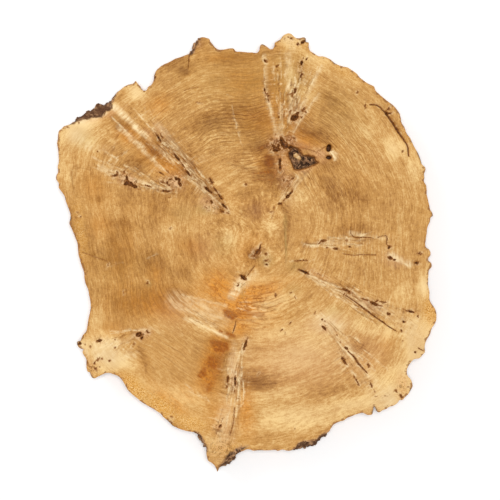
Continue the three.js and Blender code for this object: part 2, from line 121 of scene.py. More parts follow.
# Pits and checks of the pin knots: x, y, length, width, turned (degrees), strength
FLECKS = [
    # top
    (92.6, 438, 5, 4, 80, 1), (107, 426.5, 6, 3.6, 80, 1), (117, 431, 14, 6, 32, 1),
    (80, 438, 5, 3, 30, .4), (86, 440.5, 5, 3, -60, .5), (39, 392, 10, 5, -58, .9),
    (64, 382, 8, 4, 32, .9), (64, 372, 4, 3, 0, .4), (113.5, 388, 12, 6, 78, 1),
    (124, 395.5, 7, 3.5, 55, .8), (117, 398, 6, 2.5, 80, .5), (113, 362, 13, 4, 77, .9),
    (100, 330.5, 13, 4.5, 83, .9), (94.5, 322, 12, 3.4, 83, .8), (37.5, 333, 8, 3.6, 88, 1),
    (40, 324, 10, 2.8, -80, .8), (44, 321, 12, 3, -82, .9), (45.6, 311, 11, 2.6, -85, .8),
    (37, 354, 9, 2, 90, .5), (85, 323, 4, 3, 0, .4), (99, 276, 19, 13, 35, 1),
    (105, 284, 9, 6, 40, .9), (90, 288, 10, 5, 50, .5), (67, 276.5, 5, 5, 0, .9),
    (67, 284, 4, 3, 0, .4), (117, 292, 12, 4, 60, .9), (121.5, 286.5, 4, 4, 0, .8),
    (114, 276, 6, 3.4, 45, .8), (122, 314, 5, 3, 0, .4), (135, 306, 6, 2, 40, .4),
    # round the pocket
    (72, 226, 24, 5.5, 96, 1), (80, 218, 13, 8, 40, 1), (62, 209, 17, 7, 8, 1),
    (56, 216, 14, 4, -60, .9), (66, 218, 12, 5, 70, .9), (90, 213, 14, 6, -20, 1),
    (53, 220, 9, 2.6, -60, .6), (98, 233, 10, 2.4, -50, .6), (93, 238, 8, 2, -40, .5),
    (60, 241, 7, 4, 60, .4), (88, 246, 6, 4, 50, .3), (69.5, 182, 28, 5, 88, 1),
    (69, 168, 8, 5, 70, .6), (77, 148, 6, 4, -60, .7), (96, 152, 12, 3, 38, .8),
    (88, 151, 6, 3, 20, .5), (85, 134, 9, 3, 35, .5), (85, 114, 10, 7, 40, 1),
    (91, 121, 18, 4, 50, .9), (79, 108, 10, 3, 35, .7), (69, 99, 11, 5.5, 15, .8),
    (52, 83, 9, 5, 20, .4), (57, 91, 5, 4, 40, .4), (53, 72, 7, 4, 80, .3), (-1, 138, 7, 6, 0, .5),
    # centre
    (23, 0, 15, 12, 45, .8), (28, 9, 14, 4, 82, .9), (15, -8, 13, 6, 10, .6),
    (40.5, -4.4, 8, 6, 0, .6), (41.8, -17, 11, 3.6, 0, .6), (41.8, -25.3, 5, 5, 0, .9),
    (-6, -52, 19, 7, -38, 1), (-16.4, -68.5, 8, 4, 45, .6), (-20, -63, 6, 2, 20, .4),
    (112, -17.5, 32, 4, 2, .7), (118, -40.5, 28, 5, -25, 1), (60, -88.7, 4, 4, 0, .6),
    (92, -83, 8, 3.4, 30, .5), (100, -93, 9, 3.2, -65, .5), (89.5, -146, 9, 3.6, 40, .6),
    (72, -160.5, 8, 3.6, 35, .6), (79, -167, 8, 2.4, -55, .4), (-2, -190, 24, 5.5, 72, 1),
    (3, -176, 7, 4, 80, .5),
    # upper left
    (-180, 235, 26, 4.6, -58, 1), (-174, 238, 16, 3, -58, .7), (-142, 194, 24, 5.5, -52, 1),
    (-131, 180, 26, 2.6, -55, .8), (-119.5, 162, 18, 5, -50, 1), (-78, 127, 25, 6, -40, 1),
    (-72, 146, 19, 3.6, -64, .9), (-63, 128, 20, 3, -55, .8), (-53, 113, 18, 5, -50, 1),
    (-45, 94, 18, 5, -50, 1), (-50, 84, 12, 5, -30, .8), (-71, 103, 8, 5.5, -50, .8),
    (-38, 80, 9, 3, -30, .6), (-82, 91, 9, 3.4, -20, .5), (-77, 85, 6, 3.4, 20, .5),
    (-174.5, 161.5, 14, 4, -32, .8), (-161, 165.5, 13, 2.2, -50, .5), (-98, 306, 15, 2, -15, .5),
    (-187, 358, 7, 5, 60, .7), (-305, 206, 4.4, 4.4, 0, .7), (-366, 257, 5, 4, 30, .6),
    (-343, 265, 6, 3, 30, .4),
    # left
    (-267, 157.5, 12, 5, 25, .9), (-274, 156.5, 4, 3, 0, .7), (-265, 163.5, 6, 3.4, -50, .8),
    (-250, 164, 10, 3.4, 80, .7), (-201, 135, 17, 3.6, -22, .8), (-155.5, 149, 6, 4, 0, .9),
    (-150, 147, 6, 2.6, -30, .6), (-171, 143, 9, 3, 5, .8), (-161, 141, 10, 3.4, -80, .8),
    (-158, 137, 6, 3.4, -30, .7), (-164, 125, 22, 4.4, -5, .9), (-151, 127, 7, 3, 40, .5),
    (-157, 112, 6, 4.4, 0, .5), (-220, 128, 16, 2, -10, .4), (-155, 49, 7, 5, 30, .4),
    (-202, -63, 8, 5, 80, .6), (-283, -25, 7, 4, 80, .5), (-251, -83, 8, 4, 80, .4),
    (-346, 80, 4, 3, 0, .5), (-340, 73, 4, 3, 30, .5), (-351, 71, 4, 3, 0, .5),
    # lower left
    (-220, -169, 14, 10, 15, 1), (-214, -176, 8, 5, 40, .9), (-203, -164, 9, 4.6, -40, .8),
    (-302, -182, 13, 6, 15, .9), (-269, -180, 5, 3.4, 0, .4), (-269, -196, 6, 4, 60, .6),
    (-231, -187, 7, 4, 45, .5), (-320, -194, 7, 5, 70, .5), (-296, -218, 5, 4, 0, .5),
    (-280, -223, 5, 4, 80, .6), (-304, -220, 12, 3, 35, .7), (-311, -227, 9, 3.4, 50, .7),
    (-309, -240, 16, 2.6, -55, .6), (-300, -236, 6, 2.4, -45, .4), (-342, -188, 10, 5.5, 0, .9),
    (-330, -190, 5, 3, 0, .4), (-153, -338, 9, 6, -30, .4), (-155, -349, 9, 5, -40, .6),
    # bottom
    (-38, -261, 17, 4.2, 82, .9), (-39, -276.5, 4.2, 4.2, 0, .8), (-22.5, -265, 24, 4.8, 88, 1),
    (-24, -285, 7, 3.4, 90, .8), (-54, -357, 11, 4.4, 50, .8), (-59, -367, 15, 2.4, 70, .4),
    (-49, -345, 15, 2, 60, .4), (25, -250, 9, 4, 45, .4), (100, -362, 8, 3, 80, .4),
    # right
    (158, 23, 15, 5.5, 10, .8), (150, 18, 7, 3.4, 40, .7), (183, 7, 13, 5, -5, .9),
    (166, 9.5, 7, 3, 0, .5), (206, 24, 7, 6, 0, .4), (212, 10.5, 6, 4, 0, .8),
    (293, 10, 10, 5.5, 80, .9), (295, -12, 12, 6.6, -20, .9), (304, -16, 6, 4.6, 0, .8),
    (355, -2.6, 13, 3.4, 0, .7), (349, -22.4, 12, 5, -8, 1), (203, -77.5, 17, 5.5, -12, .9),
    (211, -82, 9, 4.4, -50, .8), (201, -87, 9, 3.6, 70, .7), (160, -64, 16, 2.2, -25, .4),
    (150, -46, 14, 2, -25, .4), (243, -97.5, 16, 3.6, -20, .8), (262, -106, 20, 7, -25, 1),
    (268, -100, 10, 3.6, 20, .9), (281, -102.5, 16, 3, -8, .8), (275, -110, 12, 2.6, -20, .7),
    (292, -127, 9, 5.4, -10, .8), (338, -122.5, 15, 5, -12, .9), (352, -133, 8, 3.4, -40, .7),
    (324, -143, 9, 4.4, -5, .9), (318, -161, 8, 4.4, -60, .7), (322, -117.5, 9, 2.4, -10, .4),
    (329, -121, 6, 2.6, -30, .7), (321, -182, 5, 3, 60, .4), (346, -205.5, 5, 5, 0, .8),
    (321, 207, 4, 5, 90, .6), (228, 327, 7, 4.4, 60, .5), (244.5, 300, 15, 2.4, 88, .6),
    (292.5, 284, 13, 3, 20, .9), (291, 293, 15, 2.6, 50, .6), (287.5, 284, 9, 5.5, 60, .9),
    # lower right
    (156, -139.5, 5, 3.6, 0, .8), (162, -142, 4, 2.6, 0, .5), (159.5, -156, 14, 5.5, -48, .9),
    (186, -170, 6, 2.6, -60, .5), (193, -185, 7, 2.6, -60, .4), (205, -197, 10, 5.4, -35, .9),
    (201, -223, 24, 4.4, -55, .8), (226, -263, 28, 3.6, -60, .7), (251, -233, 11, 4, -45, .7),
    (256, -271, 19, 3.4, -68, .6), (262, -285, 9, 2.4, -70, .4), (285, -295, 7, 3.4, 0, .3),
    (266, -296, 7, 4.4, 0, .3), (307, -286, 9, 3.4, -45, .7), (318, -296, 12, 4, -42, .8),
    (333, -277, 6, 2.6, 50, .4), (141, -124, 7, 4, 80, .4), (145, -131, 5, 2, -50, .3),
]

# Blots of ragged outline: strength, depth and outline
BLOTS = [
    (.85, 6, [(-255, 138), (-249, 143), (-248, 151), (-246, 160), (-243, 155), (-240, 147),
              (-231, 141), (-223, 134), (-222, 131), (-229, 131), (-238, 135), (-247, 136)]),
    (.8, 5, [(-147, 155), (-140, 153), (-134, 150), (-136, 143), (-130, 137), (-133, 134),
             (-139, 137), (-141, 146), (-146, 149)]),
    (.9, 5, [(72, 234), (77, 233), (79, 226), (84, 223), (86, 217), (83, 211), (78, 210),
             (76, 215), (73, 219), (71, 227)]),
    (.8, 5, [(56, 223), (59, 217), (66, 213), (72, 214), (71, 209), (62, 207), (55, 212), (52, 219)]),
    (.9, 6, [(85, 219), (92, 219), (99, 215), (97, 211), (89, 213)]),
    (.65, 4, [(66, 192), (70, 190), (73, 178), (72, 168), (68, 170), (67, 180)]),
]

# Cracks: width, depth, strength and middle line
CRACKS = [
    (4.4, 13, 1, [(256, 302.5), (267, 302), (275, 297), (283, 288.5), (291, 278),
                  (302, 261.5), (316, 241), (328.7, 222.5), (332, 214), (333, 198)]),
    (3.4, 8, .9, [(204, -89), (233, -109), (260, -130), (288, -150), (306, -161.5)]),
    (4.2, 8, .9, [(209, -204), (219, -213), (225, -220), (231, -230), (248, -248)]),
    (2.2, 3, .7, [(-117, 404), (-118, 392), (-119, 378)]),
    (2.6, 4, .7, [(-21, -141), (-23, -152), (-28, -167)]),
    (1.8, 2, .6, [(16, -30), (9, -40), (2, -49)]),
    (2.2, 3, .6, [(-24, -320), (-26, -350), (-33, -375)]),
    (2.4, 3, .7, [(215, 50), (214, 38), (219, 32), (228, 29), (240, 31), (262, 28)]),
    (2.4, 3, .7, [(270, 30), (279, 33), (288, 33), (289, 25), (287, 18), (292, 10)]),
    (2.0, 3, .6, [(200, -4), (214, -6), (222, -7), (235, -5.5), (264, -6)]),
    (1.6, 2, .5, [(-336, -1), (-317, -7), (-302, -13), (-285, -18)]),
    (2.0, 3, .7, [(353, -197), (360, -201), (367, -205)]),
    (1.8, 2, .4, [(-127, 331), (-112, 336), (-98, 338)]),
]

# The pocket of ingrown bark, the chip of pale wood in it, and the round knot holes: x, y,
# length, width and turned (degrees)
POCKET = [
    (86, 203), (92, 212), (97, 216), (103, 215), (107.5, 211), (111, 204), (117, 198),
    (131, 197), (140, 194.5), (143.5, 186), (147, 182), (134, 177), (121, 171),
    (106, 168.5), (99, 170), (95.5, 178), (90, 188),
]
CHIP = [(97, 202), (104, 204.5), (110, 198), (113, 192), (110, 187), (104, 191.5), (97.5, 195.5)]
KNOT_HOLES = [(169.5, 213.5, 10.5, 16.5, -12), (169.5, 194, 11.8, 8.2, 0)]

# Pale fibres that fan out from the middle: width, strength and middle line
PALE_LINES = [
    (3, .6, [(-29, 298), (-24, 275), (-18, 250), (-10, 220)]), (4, .5, [(-39, 323), (-26, 317)]),
    (4, .6, [(-120, -284), (-96, -296), (-76, -306)]), (3, .5, [(-128, -270), (-106, -288)]),
    (2.4, .5, [(-206, -12), (-181, -5)]), (3, .4, [(-250, -20), (-290, -32)]),
    (5, .9, [(-274, 275), (-245, 246), (-209, 209), (-180, 180), (-155, 156)]),
    (5, .8, [(-230, 293), (-193, 251), (-156, 209), (-120, 170), (-78, 120), (-36, 84)]),
    (4, .8, [(34, 405), (37, 360), (42, 317), (52, 280), (62, 246)]),
    (4, .7, [(154, 382), (142, 360), (129, 338), (116, 306), (104, 280)]),
    (4, .6, [(146, 320), (133, 304), (116, 279), (98, 246)]),
    (4, .7, [(125, 402), (113, 376), (108, 340)]),
    (7, .9, [(294, -4), (312, -20), (332, -27)]), (7, 1, [(178, 206), (184, 200), (182, 190)]),
    (4, .7, [(213, -210), (226, -228), (244, -252)]),
    (4, .5, [(-134, -136), (-91, -152), (-40, -174)]),
    (4, .7, [(-8, -210), (-12, -250), (-18, -300), (-22, -350)]),
]

# Fans of thin fibres: x, y where they meet, first and last direction (degrees), nearest and
# furthest reach, how many pale ones and how many brown ones
FIBRE_FANS = [
    (75, 232, 62, 101, 20, 200, 34, 16), (-35, 82, 127, 141, 10, 300, 22, 14),
    (-150, 122, 146, 171, 10, 215, 18, 9), (92, 16, -5, 9, 20, 200, 16, 7),
    (104, -36, -35, -21, 15, 270, 22, 12), (140, -116, -60, -36, 10, 235, 22, 10),
    (-6, -178, -107, -90, 10, 225, 22, 12), (-40, -164, 145, 162, 8, 120, 16, 9),
    (-194, -156, 182, 216, 12, 150, 10, 4), (128, 188, 226, 246, 18, 120, 8, 3),
    (24, -32, 225, 240, 10, 80, 6, 1), (-50, -106, -22, 6, 24, 130, 12, 8),
    (-300, 160, 30, 70, 20, 110, 8, 3),
]

# Broad bundles of pale fibres: x, y at one end and the other, both widths and strength
PALE_BUNDLES = [
    (-278, 304, -206, 238, 16, 12, .9), (-206, 238, -150, 186, 12, 6, .3),
    (-262, 256, -206, 200, 9, 6, .6), (-206, 200, -172, 166, 6, 6, .4),
    (-182, 262, -110, 178, 12, 10, .3), (-300, 176, -250, 152, 12, 12, .3),
    (-216, 146, -156, 126, 8, 10, .4), (-165, 146, -145, 140, 20, 20, .3),
    (38, 404, 44, 310, 8, 10, .3), (44, 310, 62, 244, 10, 12, .4), (88, 404, 92, 320, 16, 16, .3),
    (92, 320, 90, 290, 16, 12, .25), (70, 300, 72, 240, 10, 12, .4), (154, 380, 112, 290, 8, 8, .4),
    (148, 324, 96, 246, 8, 8, .35), (120, 160, 84, 118, 16, 10, .2), (118, 14, 210, 20, 10, 16, .25),
    (294, -4, 335, -26, 12, 14, .6), (212, 40, 285, 28, 10, 8, .35), (118, -44, 205, -88, 8, 12, .3),
    (210, -90, 300, -130, 14, 24, .25), (300, -130, 350, -165, 30, 50, .3),
    (148, -132, 190, -154, 24, 26, .35), (190, -170, 240, -250, 24, 34, .2),
    (240, -250, 300, -312, 40, 60, .25), (18, -42, 4, -60, 14, 18, .3),
    (-10, -62, -30, -92, 22, 18, 1), (-24, -188, -30, -240, 14, 20, .35),
    (-30, -240, -40, -330, 24, 34, .15), (-40, -330, -56, -408, 44, 60, .2),
    (-146, -98, -50, -136, 44, 40, .4), (-132, -88, -42, -111, 5, 8, .5),
    (-117, -96, -44, -137, 6, 9, .5), (-126, -136, -40, -174, 7, 9, .6),
    (-150, -112, -90, -130, 6, 9, .45), (-112, -142, -56, -164, 5, 6, .4),
    (174, 206, 183, 192, 9, 11, .9), (-198, -158, -250, -182, 8, 12, .4),
    (-250, -182, -330, -200, 16, 30, .4), (-232, -212, -300, -216, 20, 34, .4),
    (-340, 268, -290, 286, 24, 16, .6), (-352, 236, -322, 214, 30, 16, .3),
    (80, 440, 98, 420, 22, 26, .3),
]

# Crumbly knots of dark and pinkish wood: x, y, length, width, turned (degrees) and strength
KNOTTY_AREAS = [
    (70, 222, 58, 36, -10, 1), (52, 214, 20, 26, 0, .8), (90, 228, 26, 26, 0, .8),
    (-240, 148, 48, 24, -32, 1), (-264, 158, 30, 14, 10, .7), (-142, 146, 34, 30, -45, 1),
    (-168, 144, 44, 20, -15, .5), (-73, 95, 40, 26, -35, .9), (-44, 88, 30, 14, -40, .7),
    (102, 280, 34, 28, 30, .6), (118, 288, 14, 24, -20, .6), (-212, -169, 34, 18, 15, .8),
    (74, 172, 30, 56, 0, .5), (84, 146, 34, 26, 40, .7), (22, 0, 34, 24, 20, .7),
    (-12, -60, 26, 40, -40, .6), (292, 12, 18, 24, 0, .6), (262, -104, 60, 16, -12, .7),
    (-318, -236, 34, 24, -50, .7), (-300, -182, 40, 20, 0, .5), (118, 434, 18, 18, 0, .6),
    (92, 434, 30, 16, 0, .4), (98, 326, 16, 44, 5, .7), (42, 322, 14, 44, 5, .6),
    (-3, -186, 16, 36, -15, .6), (-30, -266, 30, 34, 0, .6), (-57, -360, 24, 44, -15, .6),
    (112, 372, 16, 50, 5, .6), (206, -82, 30, 16, -20, .6), (156, 22, 30, 12, 5, .5),
    (184, 8, 24, 10, -5, .6), (296, -13, 22, 12, -20, .6), (-105, 430, 34, 26, 0, .7),
    (-50, -400, 60, 50, 0, .6), (338, -120, 34, 12, -12, .5), (42, -18, 18, 30, 0, .5),
    (320, -270, 24, 40, 0, .5), (160, -152, 24, 30, -40, .5), (150, 204, 40, 16, -20, .5),
]

# Fine brown lines that are only a stain: width, strength and middle line
BROWN_LINES = [
    (2.6, .8, [(86, 240), (97, 232), (103, 219)]), (3, 1, [(108, 214), (124, 212), (141, 206)]),
    (2.8, .9, [(141, 206), (154, 210), (165, 218)]), (2.6, .9, [(50, 228), (52, 214), (60, 206)]),
    (2.6, .9, [(53, 230), (62, 232), (70, 224)]), (2.6, .8, [(56, 222), (64, 224), (66, 212)]),
    (2.6, .9, [(78, 236), (88, 236), (96, 224)]), (2.6, .9, [(72, 240), (80, 230), (90, 226)]),
    (2.6, .8, [(60, 200), (66, 196), (66, 184)]), (2.6, .8, [(84, 156), (92, 158), (98, 152)]),
    (2.6, .7, [(144, 180), (130, 169), (113, 158)]), (2.4, .6, [(98, 168), (120, 164), (146, 180)]),
    (2.2, .5, [(92, 222), (112, 219), (126, 206)]), (2.2, .5, [(60, 176), (64, 150), (74, 130)]),
    (2.4, .6, [(-75, 203), (-62, 196)]), (2.2, .55, [(-48, 190), (-20, 178), (20, 160), (44, 150)]),
    (2.4, .5, [(0, 291), (22, 270)]),
    (2.2, .5, [(-150, 244), (-122, 252), (-100, 262), (-82, 265)]),
    (2.2, .6, [(-182, 244), (-165, 226), (-146, 202), (-126, 172)]),
    (2.4, .7, [(-219, 139), (-196, 130), (-172, 123), (-150, 121)]),
    (3.4, .7, [(-354, 176), (-357, 163), (-356.5, 140), (-353, 122), (-346, 112)]),
    (2.4, .5, [(-356, 177), (-342, 173), (-324, 169)]), (2.0, .5, [(-351, 113), (-330, 112)]),
    (2.4, .6, [(37, 376), (36, 346), (40, 318), (47, 296)]),
    (2.4, .5, [(78, 58), (79, 20), (81, -20)]),
    (2.6, .7, [(206, -80), (232, -94), (254, -102)]),
    (2.2, .6, [(262, -104), (290, -108), (326, -122)]),
    (2.0, .4, [(196, 107), (230, 108), (262, 108)]), (2.2, .5, [(-20, -40), (2, -44), (16, -30)]),
    (2.6, .5, [(13, -278), (36, -272), (62, -270)]), (2.2, .4, [(8, -262), (34, -252), (56, -254)]),
    (2.4, .5, [(-14, -300), (-20, -340), (-28, -380)]),
    (2.6, .5, [(-48, -318), (-58, -356), (-66, -384)]),
    (2.6, .5, [(-216, -214), (-208, -232), (-205, -250)]),
    (2.0, .4, [(-336, -1), (-302, -13), (-264, -26)]),
]

# Brown stains with soft ragged edges: strength and outline
BROWN_PATCHES = [
    (.6, [(24, 214), (30, 220), (44, 228), (49, 222), (44, 212), (26, 208)]),
    (.7, [(36, 194), (44, 199), (58, 197), (62, 184), (58, 170), (44, 169), (37, 178)]),
    (.35, [(8, 172), (30, 168), (52, 160), (62, 150), (44, 138), (14, 144)]),
    (.35, [(-17, 95), (8, 97), (32, 101), (35, 65), (12, 62), (-12, 74)]),
    (.5, [(70, 93), (84, 92), (84, 79), (72, 80)]),
    (.5, [(-219, 244), (-208, 240), (-186, 214), (-178, 200), (-188, 200), (-206, 222)]),
    (.4, [(-132, 380), (-117, 378), (-117, 362), (-132, 364)]),
    (.35, [(262, 306), (276, 306), (298, 282), (314, 254), (306, 256), (286, 284)]),
    (.4, [(-352, 180), (-345, 178), (-348, 150), (-356, 150)]),
    (.3, [(-210, -218), (-204, -220), (-200, -250), (-207, -250)]),
    (.4, [(8, -262), (34, -256), (62, -262), (60, -282), (30, -282), (10, -286)]),
]

# Rust-coloured patches with sharper edges: strength and outline
RUST_PATCHES = [
    (1, [(-46, -118), (-38, -115), (-22, -122), (-16, -132), (-28, -142), (-44, -134)]),
    (.55, [(-20, -120), (6, -124), (38, -124), (36, -132), (4, -134), (-18, -132)]),
    (.9, [(-55, -158), (-40, -164), (-22, -171), (-22, -178), (-40, -173), (-56, -165)]),
    (1, [(-76, -183), (-60, -179), (-36, -184), (-34, -200), (-46, -208), (-64, -203), (-73, -194)]),
    (.35, [(-66, -203), (-46, -208), (-48, -228), (-54, -250), (-68, -252), (-82, -242), (-98, -248),
          (-96, -240), (-84, -228), (-80, -214)]),
    (.95, [(-96, -240), (-82, -236), (-78, -250), (-90, -260), (-101, -254)]),
    (.9, [(-80, -214), (-66, -210), (-58, -224), (-64, -240), (-78, -238)]),
    (.35, [(-82, -250), (-56, -248), (-62, -270), (-74, -290), (-88, -288), (-94, -276), (-88, -262)]),
    (.75, [(-84, -266), (-72, -268), (-72, -284), (-84, -288)]),
    (.35, [(38, 196), (56, 198), (60, 184), (54, 172), (42, 173), (40, 182)]),
    (.3, [(22, 213), (32, 220), (46, 226), (46, 218), (34, 211)]),
]

# Rust-coloured lines: width, strength and middle line
RUST_LINES = [
    (4, .6, [(-24, -118), (0, -122), (18, -130), (40, -132)]),
    (3, .5, [(-10, -108), (20, -104), (44, -96)]),
    (4, .5, [(-20, -138), (6, -142), (30, -148)]), (3, .5, [(0, -96), (30, -88), (60, -78)]),
    (3, .4, [(-4, -152), (20, -158), (44, -156)]), (3, .4, [(10, -76), (40, -68), (70, -60)]),
    (3, .4, [(20, -116), (52, -112), (74, -104)]), (4, .4, [(-70, -50), (-52, -66), (-36, -84)]),
    (3, .4, [(-84, -62), (-66, -80), (-48, -96)]), (3, .4, [(-60, -38), (-40, -56)]),
    (4, .5, [(100, 210), (116, 216), (134, 212)]), (3, .5, [(14, 160), (34, 164), (58, 160)]),
    (3, .4, [(10, 146), (30, 150), (52, 144)]), (4, .4, [(60, 168), (56, 150), (50, 134)]),
]

# How pale the wood is, or how dark below 0, in soft areas that add up: x, y, length, width,
# turned (degrees) and amount
TONE_AREAS = [
    # upper left: the pale corner, the knob above it and the fan below them
    (-335, 268, 72, 36, 16, 1.6), (-318, 284, 62, 30, 22, 2), (-352, 243, 52, 50, 0, .85),
    (-325, 238, 56, 50, 0, .35), (-225, 328, 46, 34, -40, 1.1), (-262, 290, 42, 20, -45, .6),
    (-252, 254, 64, 28, -45, -.9), (-250, 200, 90, 50, -20, -.25), (-145, 192, 130, 62, -45, -.65),
    (-122, 166, 52, 50, -45, -.7), (-192, 210, 74, 34, -46, -.8), (-80, 132, 70, 50, -45, -.4),
    (-240, 146, 40, 30, -30, -.5), (-148, 138, 50, 36, -20, -.5), (-62, 141, 24, 22, 0, .5),
    (-60, 98, 26, 60, 30, -.5), (-152, 386, 80, 16, 32, -.4), (-128, 374, 46, 32, 10, -.8),
    (-98, 424, 40, 40, 0, -.55),
    # top
    (-10, 285, 110, 56, 5, -.7), (-82, 264, 86, 38, 12, -.55), (25, 268, 36, 70, 0, -.5),
    (0, 350, 90, 60, 0, -.35), (-25, 398, 108, 30, 0, -.9), (50, 345, 32, 50, 0, -.7),
    (80, 300, 62, 160, 0, -.55), (99, 282, 36, 40, 10, -.9), (90, 355, 26, 60, 0, .8),
    (118, 328, 50, 40, 0, .35), (142, 398, 80, 30, -15, .55), (92, 434, 54, 32, 0, 1.3),
    (210, 362, 60, 30, -35, .2), (170, 302, 60, 50, -40, -.55), (246, 250, 50, 40, -30, .4),
    (302, 214, 46, 50, 0, .8), (312, 250, 16, 60, 30, -.4), (346, 170, 40, 66, 0, .6),
    # round the pocket
    (50, 178, 38, 48, 0, -1.3), (34, 214, 42, 30, 10, -.8), (5, 230, 60, 70, 0, -.3),
    (60, 145, 80, 46, 0, -.65), (76, 220, 52, 40, 0, -1.1), (140, 240, 84, 42, -15, -.9),
    (165, 180, 50, 50, 0, -.4), (80, 230, 90, 70, 0, -.4), (168, 132, 26, 90, 32, -.5),
    (224, 122, 80, 56, -35, -.6), (84, 70, 16, 90, 0, -.35), (105, 110, 50, 40, 40, .4),
    # left
    (-222, 178, 56, 40, 0, -.5), (-118, 118, 36, 36, 0, -.4), (-375, 190, 26, 110, 0, .3),
    (-306, 110, 50, 34, 0, -.4), (-178, 92, 50, 90, 0, -.6), (-240, 110, 80, 60, 0, -.25),
    (-262, 56, 100, 26, 0, -.4), (-356, 70, 22, 60, 5, -.7), (-344, -30, 27, 120, 6, -.9),
    (-322, -10, 34, 110, 0, -.45), (-262, 0, 64, 96, 0, -.7), (-190, -18, 60, 60, 0, -.65),
    (-176, -40, 30, 60, 0, -.3), (-138, -42, 50, 34, 0, -.6), (-165, 50, 50, 30, 0, .3),
    (-225, -98, 150, 70, 0, -.65), (-148, -98, 76, 50, 0, -1), (-280, -150, 60, 40, 0, -.25),
    (-303, -150, 46, 60, 0, .4), (-110, -5, 60, 60, 0, -.4),
    # centre
    (0, 110, 70, 50, 0, -.3), (40, 90, 60, 40, 0, -.3), (18, 84, 40, 54, 0, -.4),
    (14, -4, 36, 30, 20, -1.4), (50, 52, 36, 34, 0, .6), (-35, 30, 34, 50, 0, .7),
    (-20, -72, 34, 34, 0, .4), (22, -56, 60, 20, 5, .4), (50, -90, 120, 50, 0, .25),
    (10, -120, 84, 46, 0, 1.3), (62, -104, 70, 44, 0, .5), (-75, -160, 70, 20, -25, .4),
    (-45, -184, 54, 34, 0, -.6), (-62, -218, 56, 66, 0, -.7), (-22, -232, 30, 60, 0, .3),
    (-60, -262, 50, 60, 0, -.3),
    # lower left
    (-292, -196, 62, 56, 0, 1.1), (-292, -240, 54, 24, 0, .7), (-262, -226, 72, 32, -18, 1.3),
    (-335, -190, 30, 30, 0, .8), (-210, -222, 22, 70, 15, -.4), (-220, -170, 26, 22, 0, -.3),
    (-196, -292, 100, 36, -35, .95), (-120, -300, 90, 46, -20, .6), (-155, -354, 70, 16, -30, -.5),
    (-112, -345, 60, 24, -20, .4), (-75, -385, 36, 24, -50, .4), (-32, -345, 50, 60, 0, .35),
    (-30, -425, 50, 40, 0, -.6),
    # lower right
    (10, -262, 90, 48, 5, -.7), (60, -292, 120, 30, 0, .35), (180, -280, 80, 20, 10, -.35),
    (100, -342, 190, 58, 0, .6), (220, -312, 120, 40, 10, .8), (318, -294, 80, 56, 20, 1.8),
    (262, -250, 60, 40, -40, .4), (356, -192, 58, 100, -8, 2), (288, -164, 70, 40, 0, .55),
    (365, -72, 30, 60, 0, 1.2), (324, -250, 56, 60, 0, .8), (168, -146, 90, 54, 0, .9),
    (118, -208, 150, 76, 0, .6), (60, -160, 120, 40, 0, .35), (232, -150, 60, 40, -20, .4),
    (230, -198, 60, 30, 0, -.4), (256, -112, 62, 26, -18, -.55),
    # right
    (202, -77, 50, 24, -10, -.6), (116, -40, 40, 22, -20, -.4), (132, 16, 66, 22, 0, -.5),
    (216, 42, 70, 46, 0, -.8), (318, -80, 40, 50, 0, .4),
]

# How orange it is, or how grey below 0, likewise
WARM_AREAS = [
    (-75, -236, 50, 100, -15, 1.1), (-168, -308, 128, 44, -33, 1.2), (-244, -268, 50, 30, -35, .7),
    (0, 350, 140, 90, 0, .6), (80, 300, 80, 180, 0, .7), (20, 264, 90, 60, 0, .4),
    (-190, 205, 100, 60, -45, .5), (-150, 170, 70, 50, 0, .6), (-245, 240, 44, 40, 0, .7),
    (-318, 282, 60, 34, 20, 1.1), (-180, 300, 60, 50, 40, .5), (-50, 400, 90, 24, 0, .3),
    (32, -78, 116, 40, 12, .85), (25, -125, 120, 80, 0, .6), (-18, -158, 54, 40, 0, .8),
    (-36, -90, 130, 96, 0, .7), (-195, -105, 140, 66, 0, .6), (-125, -115, 110, 56, -20, .55),
    (-50, -193, 52, 38, 0, 1), (-50, -330, 66, 90, 0, .7), (0, -330, 40, 110, 0, .9),
    (10, 5, 105, 85, 0, .35), (-280, -170, 90, 60, 0, .3), (-62, -62, 60, 60, 20, .8),
    (-12, -118, 60, 44, 0, 1), (-188, -46, 44, 60, 0, .4), (-110, 12, 60, 34, 0, .4),
    (-312, 140, 60, 60, 0, .4), (-300, 60, 50, 60, 0, .3), (-255, -30, 100, 160, 0, .4),
    (125, 226, 60, 32, -15, .6), (378, -124, 26, 50, 0, .4), (60, 424, 40, 30, 40, .3),
    (-120, -290, 70, 40, -25, .5), (285, -188, 40, 50, 0, .3), (240, -235, 50, 40, 0, .4),
    (45, 180, 60, 50, 0, .4), (-80, -270, 40, 40, 0, .4), (-344, 242, 46, 56, 0, -.8),
    (-292, 212, 60, 22, 0, -.4), (-170, 242, 90, 24, -45, -.5), (-242, 148, 44, 40, 0, -.3),
    (-85, 110, 30, 60, 10, -.5), (32, -2, 44, 34, 0, -.6), (-8, -52, 30, 30, 0, -.3),
    (97, 315, 34, 90, 0, -.5), (82, 220, 44, 34, 0, -.3), (88, 110, 30, 40, 0, -.4),
    (172, -148, 80, 50, 0, -.6), (205, -205, 50, 40, -40, -.5), (262, -110, 70, 30, -20, -.5),
    (350, -182, 48, 90, 0, -1), (295, -300, 100, 50, 20, -.9), (230, 26, 80, 20, 0, -.4),
    (305, -20, 50, 30, 0, -.4), (-282, -210, 60, 54, -10, -.9), (-28, -245, 30, 110, 5, -.6),
    (-44, -345, 30, 90, 5, -.5), (0, -195, 30, 60, 0, -.4), (-112, -130, 70, 40, -20, -.4),
    (-218, -172, 34, 26, 0, -.4), (130, -330, 200, 50, 0, -.3), (-72, -398, 34, 26, 0, -.7),
]

